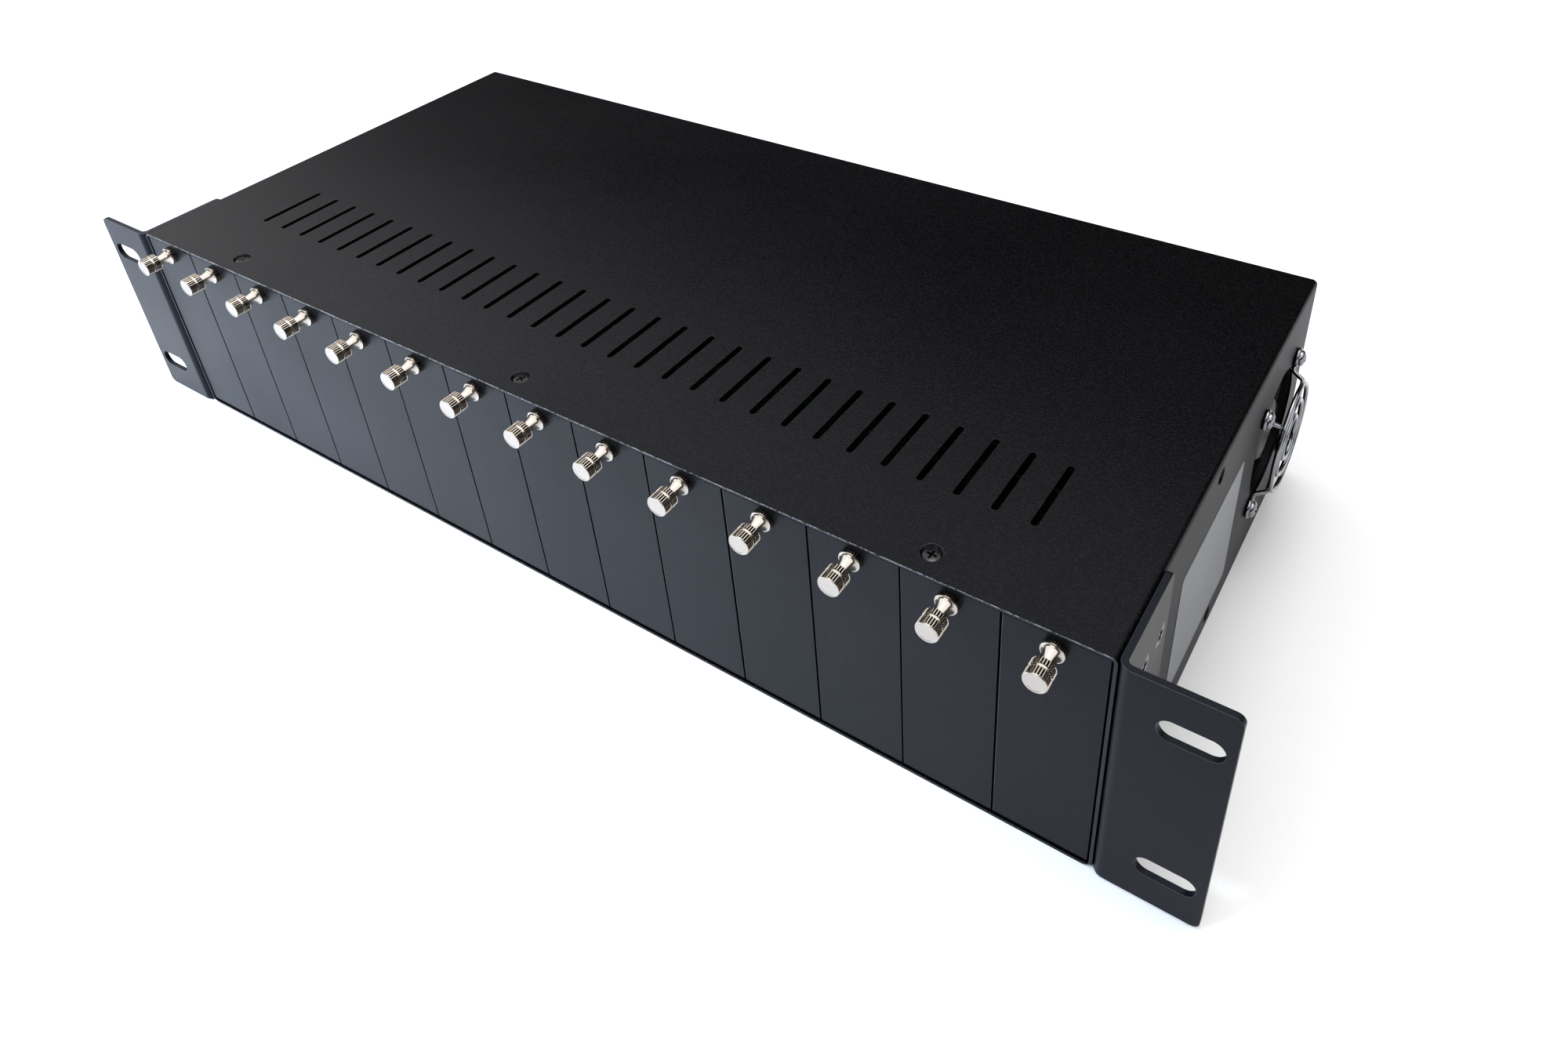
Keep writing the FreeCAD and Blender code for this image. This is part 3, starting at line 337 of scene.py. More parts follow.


# Top cover: the top and both sides in one folded sheet, with vents, the fan's opening and screw seats.
# Its powder coat is coarser than the plates' and duller on the sides, and its front edge carries a painted
# highlight in spots along its top.
def worn_edge(top, tint):
    """A painted highlight along an upper edge at the height given: lighter spots near the top of the edge.
    """
    whole_below = top - 0.45 * millimetre
    spots_above = top - 0.2 * millimetre
    material, tree, shader = new_finish("worn_edge", Roughness=0.4, Specular_IOR_Level=0.2,
                                        Specular_Tint=tint)
    place = add_node(tree, "ShaderNodeTexCoord").outputs["Object"]
    height = add_node(tree, "ShaderNodeSeparateXYZ", {0: place}).outputs["Z"]
    noise = add_node(tree, "ShaderNodeTexNoise", {"Vector": place, "Scale": 1100.0, "Detail": 1.0})
    upper = ranged(tree, height, whole_below, spots_above)
    spots = ranged(tree, noise.outputs[0], low=0.36, high=0.58)
    share = worked(tree, "MULTIPLY", upper, spots)
    # Lighter spots near the top of the edge: a painted highlight.
    colour = two_tone(tree, share, (0.006, 0.006, 0.007, 1), (0.18, 0.18, 0.185, 1))
    tree.links.new(colour, shader.inputs["Base Color"])
    return material


cool_tint = (0.72, 0.8, 1.0, 1)
side_coat = skin("side_coat", coat_dark, coat_light, smooth=0.42, rough=0.5, grain=coat_grain,
                 relief=coat_relief, Specular_IOR_Level=0.1, Specular_Tint=cool_tint)
cover = eased("top_cover", "cover_sheet", "chassis", sheet_ease, cover_coat, cover_edge)
cover_low, cover_high = map(Vector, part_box("top_cover"))
cover.data.materials.append(worn_edge(cover_high.z, cool_tint))
cover.data.materials.append(side_coat)
front_highlight_index = 2
side_index = 3
front_strip = cover_low.y + sheet_ease
sideways = 0.9
for face in cover.data.polygons:
    if face.center.y < front_strip:
        face.material_index = front_highlight_index
    elif face.material_index == 0 and abs(face.normal.x) > sideways:
        face.material_index = side_index


# Screws with cross recesses: countersunk in the cover and the ears, pan heads on the fan and the inlet.
# Each kind is turned from an outline, its recess is cut, and its copies are set in rows.
def turned(outline, segments):
    """A shape turned about Z from (radius, height) points that start and end on the axis."""
    shape = bmesh.new()
    angles = [2 * math.pi * index / segments for index in range(segments)]
    rings = []
    for radius, height in outline:
        if radius == 0:
            places = [(0, 0, height)]
        else:
            places = [(radius * math.cos(angle), radius * math.sin(angle), height) for angle in angles]
        rings.append([shape.verts.new(place) for place in places])
    for lower, upper in zip(rings, rings[1:]):
        for here in range(segments):
            ahead = (here + 1) % segments
            corners = [lower[here % len(lower)], lower[ahead % len(lower)]]
            corners += [upper[ahead % len(upper)], upper[here % len(upper)]]
            shape.faces.new(list(dict.fromkeys(corners)))
    bmesh.ops.recalc_face_normals(shape, faces=shape.faces)
    mesh = bpy.data.meshes.new("turned")
    shape.to_mesh(mesh)
    shape.free()
    return mesh


def cross_cutter(top, length, width, depth):
    """A cross-shaped plug that narrows downward, to cut the recess from the top of a head."""
    narrow_share = 0.6
    wide_share = 1.4
    half = width / 2
    shape = bmesh.new()
    rings = []
    for height, share in ((top - depth, narrow_share), (top + depth, wide_share)):
        arm = share * length / 2
        corners = [(half, half), (half, arm), (-half, arm), (-half, half), (-arm, half), (-arm, -half)]
        corners += [(-x, -y) for x, y in corners]
        rings.append([shape.verts.new((x, y, height)) for x, y in corners])
    for ring in rings:
        shape.faces.new(ring)
    lower, upper = rings
    for here in range(len(lower)):
        ahead = (here + 1) % len(lower)
        shape.faces.new((lower[here], lower[ahead], upper[ahead], upper[here]))
    bmesh.ops.recalc_face_normals(shape, faces=shape.faces)
    mesh = bpy.data.meshes.new("cross")
    shape.to_mesh(mesh)
    shape.free()
    return bpy.data.objects.new("cross", mesh)


def screw_rows_tree():
    """Sets copies of a screw in rows: a start, then a count and a step along and between the rows.
    Each copy is driven home at an angle of its own, up to half a turn: socket 3 holds that limit."""
    seed = 0
    half_turn = math.pi
    tree, start, end = new_group(
        "screw_rows", "GeometryNodeTree",
        {"Geometry": ("NodeSocketGeometry", None), "Start": ("NodeSocketVector", (0, 0, 0)),
         "Columns": ("NodeSocketInt", 1), "Column step": ("NodeSocketVector", (0, 0, 0)),
         "Rows": ("NodeSocketInt", 1), "Row step": ("NodeSocketVector", (0, 0, 0)),
         "Turn": ("NodeSocketVector", (0, 0, 0)), "Finish": ("NodeSocketMaterial", None)},
        {"Geometry": "NodeSocketGeometry"})
    given = start.outputs
    row = add_node(tree, "GeometryNodeMeshLine",
                   {"Count": given["Columns"], "Start Location": given["Start"],
                    "Offset": given["Column step"]})
    side = add_node(tree, "GeometryNodeMeshLine", {"Count": given["Rows"], "Offset": given["Row step"]})
    grid = add_node(tree, "GeometryNodeInstanceOnPoints",
                    {"Points": side.outputs[0], "Instance": row.outputs[0]})
    places = add_node(tree, "GeometryNodeRealizeInstances", {0: grid.outputs[0]})
    turn = add_node(tree, "FunctionNodeEulerToRotation", {0: given["Turn"]})
    chance = add_node(tree, "FunctionNodeRandomValue", {3: half_turn, "Seed": seed}, data_type="FLOAT")
    driven = add_node(tree, "FunctionNodeAxisAngleToRotation", {0: (0, 0, 1), 1: chance.outputs[1]})
    stance = add_node(tree, "FunctionNodeRotateRotation", {0: turn.outputs[0], 1: driven.outputs[0]},
                      rotation_space="LOCAL")
    copies = add_node(tree, "GeometryNodeInstanceOnPoints",
                      {"Points": places.outputs[0], "Instance": given["Geometry"],
                       "Rotation": stance.outputs[0]})
    real = add_node(tree, "GeometryNodeRealizeInstances", {0: copies.outputs[0]})
    finish = add_node(tree, "GeometryNodeSetMaterial",
                      {"Geometry": real.outputs[0], "Material": given["Finish"]})
    tree.links.new(finish.outputs[0], end.inputs[0])
    return tree


def grow(mesh, name, tree, **values):
    """Runs a geometry tree on a mesh, with its named inputs, and keeps the result as a plain piece."""
    shaded_turn = math.radians(35)
    piece = bpy.data.objects.new(name, mesh)
    bpy.context.collection.objects.link(piece)
    modifier = piece.modifiers.new(tree.name, "NODES")
    modifier.node_group = tree
    for item in tree.interface.items_tree:
        label = item.name.replace(" ", "_").lower()
        if item.in_out == "INPUT" and label in values:
            modifier[item.identifier] = values[label]
    plain_mesh(piece)
    piece.data.set_sharp_from_angle(angle=shaded_turn)
    return piece


def cross_screw(outline, top, **recess):
    """One screw, turned and cut: recess is the length, width and depth of its cross."""
    round_steps = 32
    screw = bpy.data.objects.new("screw", turned(outline, round_steps))
    cutter = cross_cutter(top, **recess)
    for thing in (screw, cutter):
        bpy.context.collection.objects.link(thing)
    cut = screw.modifiers.new("recess", "BOOLEAN")
    cut.operation = "DIFFERENCE"
    cut.solver = "EXACT"
    cut.object = cutter
    plain_mesh(screw)
    mesh = screw.data
    mesh.shade_smooth()
    bpy.data.objects.remove(screw)
    bpy.data.objects.remove(cutter)
    return mesh


def countersunk_screw(head, shank, reach):
    """A flat head on a cone, with its rim just broken, whose top lies at height 0."""
    rim = 0.12 * millimetre
    neck = -rim - (head - shank)
    outline = [(0, 0), (head - 2 * rim, 0), (head, -rim), (shank, neck), (shank, -reach), (0, -reach)]
    return cross_screw(outline, 0, length=1.25 * head, width=0.3 * head, depth=0.45 * head)


def pan_screw(head, height, shank, reach):
    """A domed head whose seat lies at height 0."""
    lip = 0.25 * height
    outline = [(0, height)]
    for degrees in range(75, -1, -15):
        angle = math.radians(degrees)
        outline.append((head * math.cos(angle), lip + (height - lip) * math.sin(angle)))
    outline += [(head, 0), (shank, 0), (shank, -reach), (0, -reach)]
    return cross_screw(outline, height, length=1.15 * head, width=0.28 * head, depth=0.5 * height)


def plated(name, colour, smooth, rough, cloud_scale=900.0, cloud_detail=2.0):
    """Plated metal, a little cloudy."""
    material, tree, shader = new_finish(name, Metallic=1.0, Base_Color=(*colour, 1))
    cloud = add_node(tree, "ShaderNodeGroup", {"Scale": cloud_scale, "Detail": cloud_detail},
                     node_tree=plating_cloud)
    gloss = ranged(tree, cloud.outputs["Cloud"], to_low=smooth, to_high=rough)
    tree.links.new(gloss, shader.inputs["Roughness"])
    return material


def keep_screws(piece, node):
    """The screws ride on the case and stand for their plain solids."""
    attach(piece, "chassis")
    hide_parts(node)


def both_sides(piece):
    """Repeats a piece on the other side of the case."""
    piece.modifiers.new("other_side", "MIRROR")
    return plain_mesh(piece)


black_zinc = plated("black_zinc", (0.03, 0.03, 0.032), smooth=0.17, rough=0.32)
screw_rows = screw_rows_tree()
quarter = math.pi / 2
small_shank = 1.45 * millimetre
low, high = map(Vector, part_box("top_screws"))
head_radius = (high.y - low.y) / 2
small_screw = countersunk_screw(head_radius, small_shank, high.z - low.z)
top_screws = grow(small_screw, "cover_screws", screw_rows, columns=3, finish=black_zinc,
                  start=(low.x + head_radius, low.y + head_radius, high.z),
                  column_step=((high.x - low.x) / 2 - head_radius, 0, 0))
keep_screws(top_screws, "top_screws")
low, high = map(Vector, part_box("side_screws"))
side_screws = grow(small_screw, "side_cover_screws", screw_rows, columns=2, finish=black_zinc,
                   start=(high.x, low.y + head_radius, high.z - head_radius), turn=(0, quarter, 0),
                   column_step=(0, high.y - low.y - 2 * head_radius, low.z - high.z + 2 * head_radius))
keep_screws(both_sides(side_screws), "side_screws")


# Rack ears: thick folded angles at both ends of the front, each with two rack slots in its flange.
# They are coated a smoother satin black with a painted highlight on their eased edges, and four larger
# countersunk screws hold each to the case's side.
plate_relief = 0.012 * millimetre
plate_coat = skin("plate_coat", (0.003, 0.0033, 0.0042), (0.006, 0.0066, 0.0085), smooth=0.3, rough=0.4,
                  grain=coat_grain, relief=plate_relief, Specular_IOR_Level=0.1, Specular_Tint=cool_tint)
# The eased edge strips of the ears, and the front-left ones of the plates, are a lighter colour than the
# coat: a painted highlight.
plate_edge = skin("plate_edge", (0.02, 0.022, 0.026), (0.05, 0.054, 0.062), smooth=0.3, rough=0.4,
                  grain=coat_grain, relief=plate_relief)
ear_ease = 0.3 * millimetre
for side in ("left", "right"):
    ear = eased(f"rack_ear_{side}", f"ear_{side}", "chassis", ear_ease, plate_coat, plate_edge)
low, high = map(Vector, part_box("ear_screws"))
ear_head = 3.6 * millimetre
ear_shank = 1.9 * millimetre
ear_reach = 5.5 * millimetre
ear_screw = countersunk_screw(ear_head, ear_shank, ear_reach)
ear_screws = grow(ear_screw, "ear_side_screws", screw_rows, columns=2, rows=2, finish=black_zinc,
                  start=(high.x, low.y + ear_head, low.z + ear_head), turn=(0, quarter, 0),
                  column_step=(0, high.y - low.y - 2 * ear_head, 0),
                  row_step=(0, 0, high.z - low.z - 2 * ear_head))
keep_screws(both_sides(ear_screws), "ear_screws")


# Fan: a black moulded frame and impeller behind the right side, with a chromed wire guard outside it.
# Four plated pan-head screws go through the guard's eyes and the side into the frame.
fan_plastic = skin("fan_plastic", (0.003, 0.003, 0.0035), (0.007, 0.007, 0.008), smooth=0.4, rough=0.5,
                   grain=0.5 * millimetre, relief=0.012 * millimetre, Specular_IOR_Level=0.15)
fan_ease = 0.25 * millimetre
fan_frame = eased("fan_frame", "fan_housing", "chassis", fan_ease, fan_plastic, fan_plastic)
dress(["fan_rotor"], fan_plastic)
chrome = plated("guard_chrome", (0.22, 0.225, 0.24), smooth=0.08, rough=0.18)
dress(["fan_guard"], chrome)
low, high = map(Vector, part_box("fan_screws"))
fan_head = 3.0 * millimetre
fan_shank = 1.5 * millimetre
fan_head_height = 1.8 * millimetre
fan_seat = high.x - fan_head_height
fan_screw = pan_screw(fan_head, fan_head_height, fan_shank, fan_seat - low.x)
fan_screws = grow(fan_screw, "fan_guard_screws", screw_rows, columns=2, rows=2, finish=chrome,
                  start=(fan_seat, low.y + fan_head, low.z + fan_head), turn=(0, quarter, 0),
                  column_step=(0, high.y - low.y - 2 * fan_head, 0),
                  row_step=(0, 0, high.z - low.z - 2 * fan_head))
keep_screws(fan_screws, "fan_screws")


# Power inlet, switch and earth stud in the rear wall: glossy black mouldings, bright pins, a brass stud.
# Two pan-head screws hold the inlet's flange, and the rocker carries a plain bar and ring in white.
def marked_rocker(plain, centre):
    """The plain plastic with a white bar above the rocker's middle and a white ring below it."""
    mark_lift = 4.2 * millimetre
    bar_half = 1.7 * millimetre
    bar_slimness = 5.0
    ring_inner = 1.1 * millimetre
    ring_outer = 1.6 * millimetre
    material = plain.copy()
    material.name = "rocker_plastic"
    tree = material.node_tree
    shader = tree.nodes["Principled BSDF"]
    plastic = shader.inputs["Base Color"].links[0].from_socket
    place = add_node(tree, "ShaderNodeTexCoord").outputs["Object"]
    shares = []
    for lift, slimness, inner, outer in ((mark_lift, bar_slimness, 0.0, bar_half),
                                         (-mark_lift, 1.0, ring_inner, ring_outer)):
        spot = Vector((centre.x, 0, centre.z + lift))
        off = add_node(tree, "ShaderNodeVectorMath", {0: place, 1: spot}, operation="SUBTRACT")
        flat = add_node(tree, "ShaderNodeVectorMath", {0: off.outputs[0], 1: (slimness, 0, 1)},
                        operation="MULTIPLY")
        far = add_node(tree, "ShaderNodeVectorMath", {0: flat.outputs[0]}, operation="LENGTH")
        within = worked(tree, "LESS_THAN", far.outputs["Value"], outer)
        beyond = worked(tree, "GREATER_THAN", far.outputs["Value"], inner)
        shares.append(worked(tree, "MULTIPLY", within, beyond))
    mark = worked(tree, "ADD", *shares)
    colour = two_tone(tree, mark, plastic, (0.75, 0.75, 0.74, 1))
    tree.links.new(colour, shader.inputs["Base Color"])
    return material


inlet_plastic = skin("inlet_plastic", (0.008, 0.008, 0.009), (0.013, 0.013, 0.014), smooth=0.2, rough=0.32,
                     grain=0.8 * millimetre, relief=0.008 * millimetre)
bright_zinc = plated("bright_zinc", (0.72, 0.72, 0.71), smooth=0.16, rough=0.32)
inlet_ease = 0.3 * millimetre
inlet = eased("power_inlet", "inlet_socket", "chassis", inlet_ease, inlet_plastic, inlet_plastic)
inlet.data.materials.append(bright_zinc)
inlet_middle = middle("power_inlet")
flange_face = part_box("power_inlet")[1].y
pins_half_width = 8.5 * millimetre
pins_half_height = 6.0 * millimetre
pin_roots = flange_face - 14.6 * millimetre
pin_tips = flange_face - 1.0 * millimetre
pin_index = 2
for face in inlet.data.polygons:
    off = face.center - inlet_middle
    among_pins = abs(off.x) < pins_half_width and abs(off.z) < pins_half_height
    if among_pins and pin_roots < face.center.y < pin_tips:
        face.material_index = pin_index
switch = eased("power_switch_frame", "switch_bezel", "chassis", inlet_ease, inlet_plastic, inlet_plastic)
rocker_plastic = marked_rocker(inlet_plastic, middle("power_switch_rocker"))
rocker = eased("power_switch_rocker", "switch_rocker", "power_switch_rocker", inlet_ease,
               rocker_plastic, rocker_plastic)
low, high = map(Vector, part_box("inlet_screws"))
inlet_head = (high.z - low.z) / 2
inlet_head_height = 1.8 * millimetre
inlet_seat = high.y - inlet_head_height
inlet_screw = pan_screw(inlet_head, inlet_head_height, small_shank, inlet_seat - low.y)
inlet_screws = grow(inlet_screw, "inlet_flange_screws", screw_rows, columns=2, finish=bright_zinc,
                    start=(low.x + inlet_head, inlet_seat, low.z + inlet_head),
                    turn=(-quarter, 0, 0), column_step=(high.x - low.x - 2 * inlet_head, 0, 0))
keep_screws(inlet_screws, "inlet_screws")
brass = plated("brass", (0.72, 0.5, 0.22), smooth=0.2, rough=0.36)
dress(["earth_stud"], brass)


# Slot covers: fourteen blank plates in the same satin black as the ears, each folded back at its foot.
# Each draws straight out of the front once its thumbscrew is undone; the rail behind them is blackened.
# Their eased edge strips are painted near black, a painted shade for the gaps between them, and the strips
# facing front-left carry a painted highlight instead.
dress(["front_rail"], black_zinc)
# Painted shade: the plates' eased strips are near black and without reflection, standing for the shade in
# the gaps.
joint_black = skin("joint_black", (0.0004, 0.0004, 0.0005), (0.0009, 0.0009, 0.001), smooth=0.6, rough=0.7,
                   grain=coat_grain, relief=0.004 * millimetre, Specular_IOR_Level=0.0)
slot_count = 14
plate_ease = 0.22 * millimetre
gap_shade_index = 1
edge_highlight_index = 2
# Strips facing front-left are given the lighter edge colour: a painted highlight.
highlight_lean = -0.3
for number in range(1, slot_count + 1):
    plate = eased(f"slot_cover_{number:02d}", f"plate_{number:02d}", f"slot_cover_{number:02d}",
                  plate_ease, plate_coat, joint_black)
    plate.data.materials.append(plate_edge)
    for face in plate.data.polygons:
        front_left = face.normal.x < highlight_lean and face.normal.y < highlight_lean
        if face.material_index == gap_shade_index and front_left:
            face.material_index = edge_highlight_index


# Thumbscrews: turned and nickel plated, with a knurled collar, a flared waist and two knurled bands.
# Each is driven through its plate into a nut in the front rail, and turns by hand.
def knob_outline():
    """From the middle of the face to the shank's tip: (radius, height above the plate), in millimetres."""
    rim = 3.44
    root = 3.1
    waist = 1.9
    shank = 1.5
    face = [(0, 12.24), (2.75, 12.24), (2.83, 12.3), (3.3, 12.3), (rim, 12.18), (rim, 12.08), (root, 12.0)]
    bands = [(root, 9.4), (3.24, 9.3), (3.24, 8.6), (root, 8.5), (root, 6.6), (3.0, 6.4), (waist, 6.4)]
    flare_foot = 3.36
    flare_start = 1.9
    flare_height = 4.2
    flare_steps = 12
    ring_height = 0.03
    flare = []
    for step in range(flare_steps + 1):
        turn = math.radians(90 * step / flare_steps)
        ring = ring_height * (step % 2)
        flare.append((flare_foot - (flare_foot - waist) * math.sin(turn) + ring,
                      flare_start + flare_height * (1 - math.cos(turn))))
    collar = [(rim, 1.82), (rim, 1.72), (root, 1.64), (root, 0.1), (shank, 0.1)]
    tip = [(shank, -6.7), (1.2, -7.0), (0, -7.0)]
    return face + bands + flare[::-1] + collar + tip


def rib_comb():
    """The ribs of the collar and the two bands at one place round the knob: each is a long low wedge.
    A rib is given by its foot, its top and the run of the slope at either end, in millimetres."""
    root = 3.05
    crest = 3.5
    half_root = 0.2
    half_crest = 0.1
    collar_rib = (0.1, 1.75, 0.0, 0.05)
    inner_rib = (6.4, 8.6, 0.2, 0.1)
    outer_rib = (9.3, 12.12, 0.1, 0.05)
    shape = bmesh.new()
    for foot, top, rear_ease, front_ease in (collar_rib, inner_rib, outer_rib):
        outline = ((foot, root, half_root), (foot + rear_ease, crest, half_crest),
                   (top - front_ease, crest, half_crest), (top, root, half_root))
        section = []
        for height, radius, half in outline:
            section.append([shape.verts.new((radius, across, height)) for across in (half, -half)])
        for (left, right), (next_left, next_right) in zip(section, section[1:]):
            shape.faces.new((left, right, next_right, next_left))
        for flank in zip(*section):
            shape.faces.new(flank)
    bmesh.ops.recalc_face_normals(shape, faces=shape.faces)
    mesh = bpy.data.meshes.new("rib_comb")
    shape.to_mesh(mesh)
    shape.free()
    return mesh


def rib_ring_tree():
    """Turns copies of a rib about Z, evenly, as many as the count."""
    tree, start, end = new_group(
        "rib_ring", "GeometryNodeTree",
        {"Geometry": ("NodeSocketGeometry", None), "Count": ("NodeSocketInt", 28),
         "Finish": ("NodeSocketMaterial", None)}, {"Geometry": "NodeSocketGeometry"})
    given = start.outputs
    places = add_node(tree, "GeometryNodeMeshLine", {"Count": given["Count"], "Offset": (0, 0, 0)})
    order = add_node(tree, "GeometryNodeInputIndex")
    share = worked(tree, "DIVIDE", order.outputs[0], given["Count"])
    angle = worked(tree, "MULTIPLY", share, 2 * math.pi)
    turn = add_node(tree, "FunctionNodeAxisAngleToRotation", {0: (0, 0, 1), 1: angle})
    ring = add_node(tree, "GeometryNodeInstanceOnPoints",
                    {"Points": places.outputs[0], "Instance": given["Geometry"],
                     "Rotation": turn.outputs[0]})
    real = add_node(tree, "GeometryNodeRealizeInstances", {0: ring.outputs[0]})
    finish = add_node(tree, "GeometryNodeSetMaterial",
                      {"Geometry": real.outputs[0], "Material": given["Finish"]})
    tree.links.new(finish.outputs[0], end.inputs[0])
    return tree


def knob_mesh(nickel, dull_root, satin_end):
    """One whole thumbscrew about Z, with its plate's face at height 0, in metres.
    The roots between the ribs are painted near black, a painted shade in the grooves, and the end is faced
    off to a satin.
    It is made in millimetres, and scaled when its parts are joined."""
    round_steps = 56
    rib_count = 28
    root_least = 3.0
    root_most = 3.2
    upright = 0.5
    end_height = 12.2
    end_facing = 0.9
    shaded_turn = math.radians(30)
    body = turned(knob_outline(), round_steps)
    ribs = grow(rib_comb(), "ribs", rib_ring_tree(), count=rib_count, finish=nickel)
    shape = bmesh.new()
    shape.from_mesh(body)
    roots = []
    ends = []
    for face in shape.faces:
        face.smooth = True
        centre = face.calc_center_median()
        if root_least < centre.xy.length < root_most and abs(face.normal.z) < upright:
            roots.append(face)
        elif centre.z > end_height and face.normal.z > end_facing:
            ends.append(face)
    shape.from_mesh(ribs.data)
    for face in shape.faces:
        face.material_index = 0
    for face in roots:
        face.material_index = 1
    for face in ends:
        face.material_index = 2
    bmesh.ops.scale(shape, vec=(millimetre, millimetre, millimetre), verts=shape.verts)
    mesh = bpy.data.meshes.new("thumbscrew")
    shape.to_mesh(mesh)
    shape.free()
    bpy.data.objects.remove(ribs)
    for finish in (nickel, dull_root, satin_end):
        mesh.materials.append(finish)
    mesh.set_sharp_from_angle(angle=shaded_turn)
    return mesh


bright_nickel = plated("bright_nickel", (0.44, 0.4, 0.355), smooth=0.14, rough=0.26,
                       cloud_scale=500.0, cloud_detail=3.0)
# The roots between the ribs are painted near black: painted shade in the knurl's grooves.
dull_root = plated("dull_root", (0.014, 0.01, 0.008), smooth=0.4, rough=0.55)
satin_end = plated("satin_end", (0.46, 0.425, 0.395), smooth=0.42, rough=0.52)
knob = knob_mesh(bright_nickel, dull_root, satin_end)
plate_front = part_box("slot_cover_01")[0].y
own_turn = 2.4
for number in range(1, slot_count + 1):
    name = f"thumbscrew_{number:02d}"
    seat = middle(name)
    mesh = knob.copy()
    mesh.transform(Matrix.Translation((seat.x, plate_front, seat.z)) @ Matrix.Rotation(quarter, 4, "X")
                   @ Matrix.Rotation(own_turn * number, 4, "Z"))
    screw = bpy.data.objects.new(f"knob_{number:02d}", mesh)
    bpy.context.collection.objects.link(screw)
    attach(screw, name)
    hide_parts(name)


# Label plate: a thin bare foil with rounded corners, stuck to the right side in front of the fan.
# It is a dull silver all over.
def foil_mesh(face_x, low_y, high_y, low_z, high_z, radius, thick):
    """A thin plate with round corners on a side face, grown outwards from it."""
    corners = [(high_y - radius, high_z - radius), (low_y + radius, high_z - radius),
               (low_y + radius, low_z + radius), (high_y - radius, low_z + radius)]
    shape = bmesh.new()
    rim = []
    for order, (middle_y, middle_z) in enumerate(corners):
        for degrees in range(0, 91, 15):
            turn = math.radians(90 * order + degrees)
            rim.append(shape.verts.new((face_x, middle_y + radius * math.cos(turn),
                                        middle_z + radius * math.sin(turn))))
    sheet = shape.faces.new(rim)
    grown = bmesh.ops.extrude_face_region(shape, geom=[sheet])
    lifted = [part for part in grown["geom"] if isinstance(part, bmesh.types.BMVert)]
    bmesh.ops.translate(shape, vec=(thick, 0, 0), verts=lifted)
    bmesh.ops.recalc_face_normals(shape, faces=shape.faces)
    mesh = bpy.data.meshes.new("label_foil")
    shape.to_mesh(mesh)
    shape.free()
    return mesh


label_front = -41 * millimetre
label_rear = 19 * millimetre
label_foot = 11.5 * millimetre
label_top = 63.3 * millimetre
label_corner = 2 * millimetre
label_thickness = 0.12 * millimetre
label_foil = skin("label_foil", (0.13, 0.138, 0.155), (0.17, 0.178, 0.2), smooth=0.35, rough=0.45,
                  grain=coat_grain, relief=0.004 * millimetre, Metallic=0.4)
label_sheet = foil_mesh(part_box("top_cover")[1].x, label_front, label_rear, label_foot, label_top,
                        label_corner, label_thickness)
label = bpy.data.objects.new("side_label", label_sheet)
label.data.materials.append(label_foil)
bpy.context.collection.objects.link(label)
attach(label, "chassis")


# Floor: a wide, even, pale studio sheet under the case.
# It is lit white round the case, and glows far off so that its edge is lost in the white of the room.
floor_half = 4.0
floor_gap = 0.2 * millimetre
glow_start = 0.9
glow_full = 2.2
floor_corners = [(-floor_half, -floor_half, 0), (floor_half, -floor_half, 0),
                 (floor_half, floor_half, 0), (-floor_half, floor_half, 0)]
floor_mesh = bpy.data.meshes.new("floor")
floor_mesh.from_pydata(floor_corners, [], [(0, 1, 2, 3)])
floor = bpy.data.objects.new("floor", floor_mesh)
bpy.context.collection.objects.link(floor)
floor.location.z = cad_box[0].z - floor_gap
floor_finish, tree, shader = new_finish("floor_white", Base_Color=(0.65, 0.65, 0.65, 1), Roughness=0.9,
                                        Specular_IOR_Level=0.1, Emission_Color=(1, 1, 1, 1))
place = add_node(tree, "ShaderNodeTexCoord").outputs["Object"]
distance = add_node(tree, "ShaderNodeVectorMath", {0: place}, operation="LENGTH")
far_glow = ranged(tree, distance.outputs["Value"], glow_start, glow_full)
tree.links.new(far_glow, shader.inputs["Emission Strength"])
floor.data.materials.append(floor_finish)


# Lights: a soft ceiling, a wide panel overhead, and a panel in front and one at the front left.
# A cool spot washes the left end of the front.
# The room is white only low down, so the top keeps its black.
def add_lamp(name, kind, direction, **settings):
    """A lamp of one kind that shines in a direction, with its settings."""
    lamp = bpy.data.lights.new(name, kind)
    for key, value in settings.items():
        setattr(lamp, key, value)
    piece = bpy.data.objects.new(name, lamp)
    bpy.context.collection.objects.link(piece)
    piece.rotation_euler = Vector(direction).to_track_quat("-Z", "Y").to_euler()
    return piece


def soft_panel(name, place, aim, width, height, power, colour, mirrored=True):
    """A rectangular lamp; one that isn't mirrored leaves no patch of light in glossy surfaces."""
    panel = add_lamp(name, "AREA", Vector(aim) - Vector(place), shape="RECTANGLE", size=width, size_y=height,
                     energy=power, color=colour)
    panel.location = place
    panel.visible_glossy = mirrored


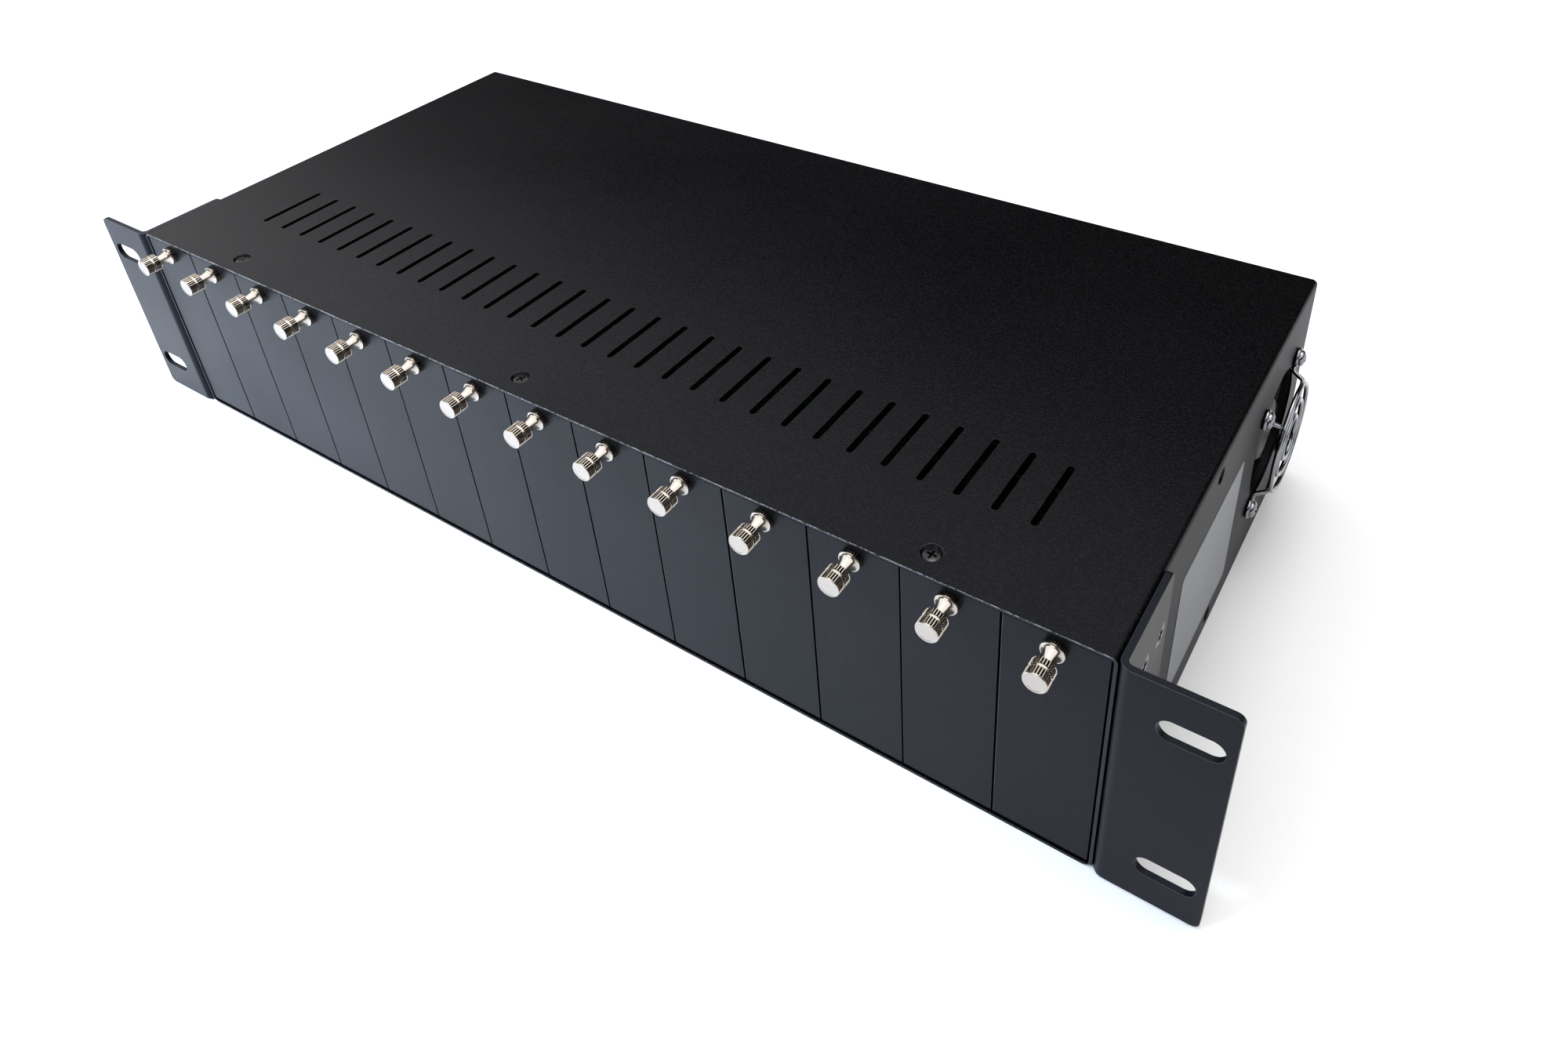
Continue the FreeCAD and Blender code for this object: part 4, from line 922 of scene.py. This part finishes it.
soft_panel("key", place=(-0.7, 0.1, 1.5), aim=(-0.7, 0.1, 0), width=7.0, height=2.6, power=118,
           colour=(1.0, 1.0, 1.0))
soft_panel("left_front", place=(-0.95, -0.45, 0.5), aim=(-0.1, -0.05, 0.05), width=0.6, height=0.6, power=25,
           colour=(0.55, 0.72, 1.0), mirrored=False)
soft_panel("front", place=(-0.2, -1.6, 1.2), aim=(0, 0, 0.08), width=1.2, height=0.8, power=9,
           colour=(1.0, 1.0, 1.0))
wash_place = Vector((-0.5, -0.9, 0.9))
wash_aim = Vector((-0.09, -0.12, 0))
wash = add_lamp("wash", "SPOT", wash_aim - wash_place, energy=120, color=(0.8, 0.9, 1.0),
                spot_size=math.radians(25), spot_blend=0.6, shadow_soft_size=0.15)
wash.location = wash_place
wash.visible_glossy = False
ceiling_fall = (0.06, -0.15, -1.0)
add_lamp("ceiling", "SUN", ceiling_fall, energy=1.3, angle=math.radians(30))
white_below = 0.02
dim_above = 0.1
white_strength = 1.0
dim_strength = 0.06
room = bpy.data.worlds.new("room")
room.use_nodes = True
air = room.node_tree.nodes["Background"]
air.inputs["Color"].default_value = (1, 1, 1, 1)
heading = add_node(room.node_tree, "ShaderNodeTexCoord").outputs["Generated"]
rise = add_node(room.node_tree, "ShaderNodeSeparateXYZ", {0: heading}).outputs["Z"]
strength = ranged(room.node_tree, rise, white_below, dim_above, white_strength, dim_strength)
room.node_tree.links.new(strength, air.inputs["Strength"])
bpy.context.scene.view_settings.view_transform = "Standard"
bpy.context.scene.world = room


# Camera: close, above and to the right of the front, looking down along the row of thumbscrews.
# Its lens is wide, and its shift puts the case in the frame as in the photograph.
camera_place = Vector((0.26147, -0.28208, 0.3178))
camera_dip = math.radians(32.315)
camera_heading = math.radians(34.168)
camera_roll = math.radians(-2.792)
camera = bpy.data.objects.new("camera", bpy.data.cameras.new("camera"))
bpy.context.collection.objects.link(camera)
camera.data.sensor_width = 36.0
camera.data.lens = 26.516
camera.data.shift_x = -0.0355
camera.data.shift_y = -0.1603
camera.data.clip_start = 0.01
camera_turn = Euler((quarter - camera_dip, 0, camera_heading)).to_matrix().to_4x4()
camera.matrix_world = (Matrix.Translation(camera_place) @ camera_turn
                       @ Matrix.Rotation(camera_roll, 4, "Z"))
bpy.context.scene.camera = camera
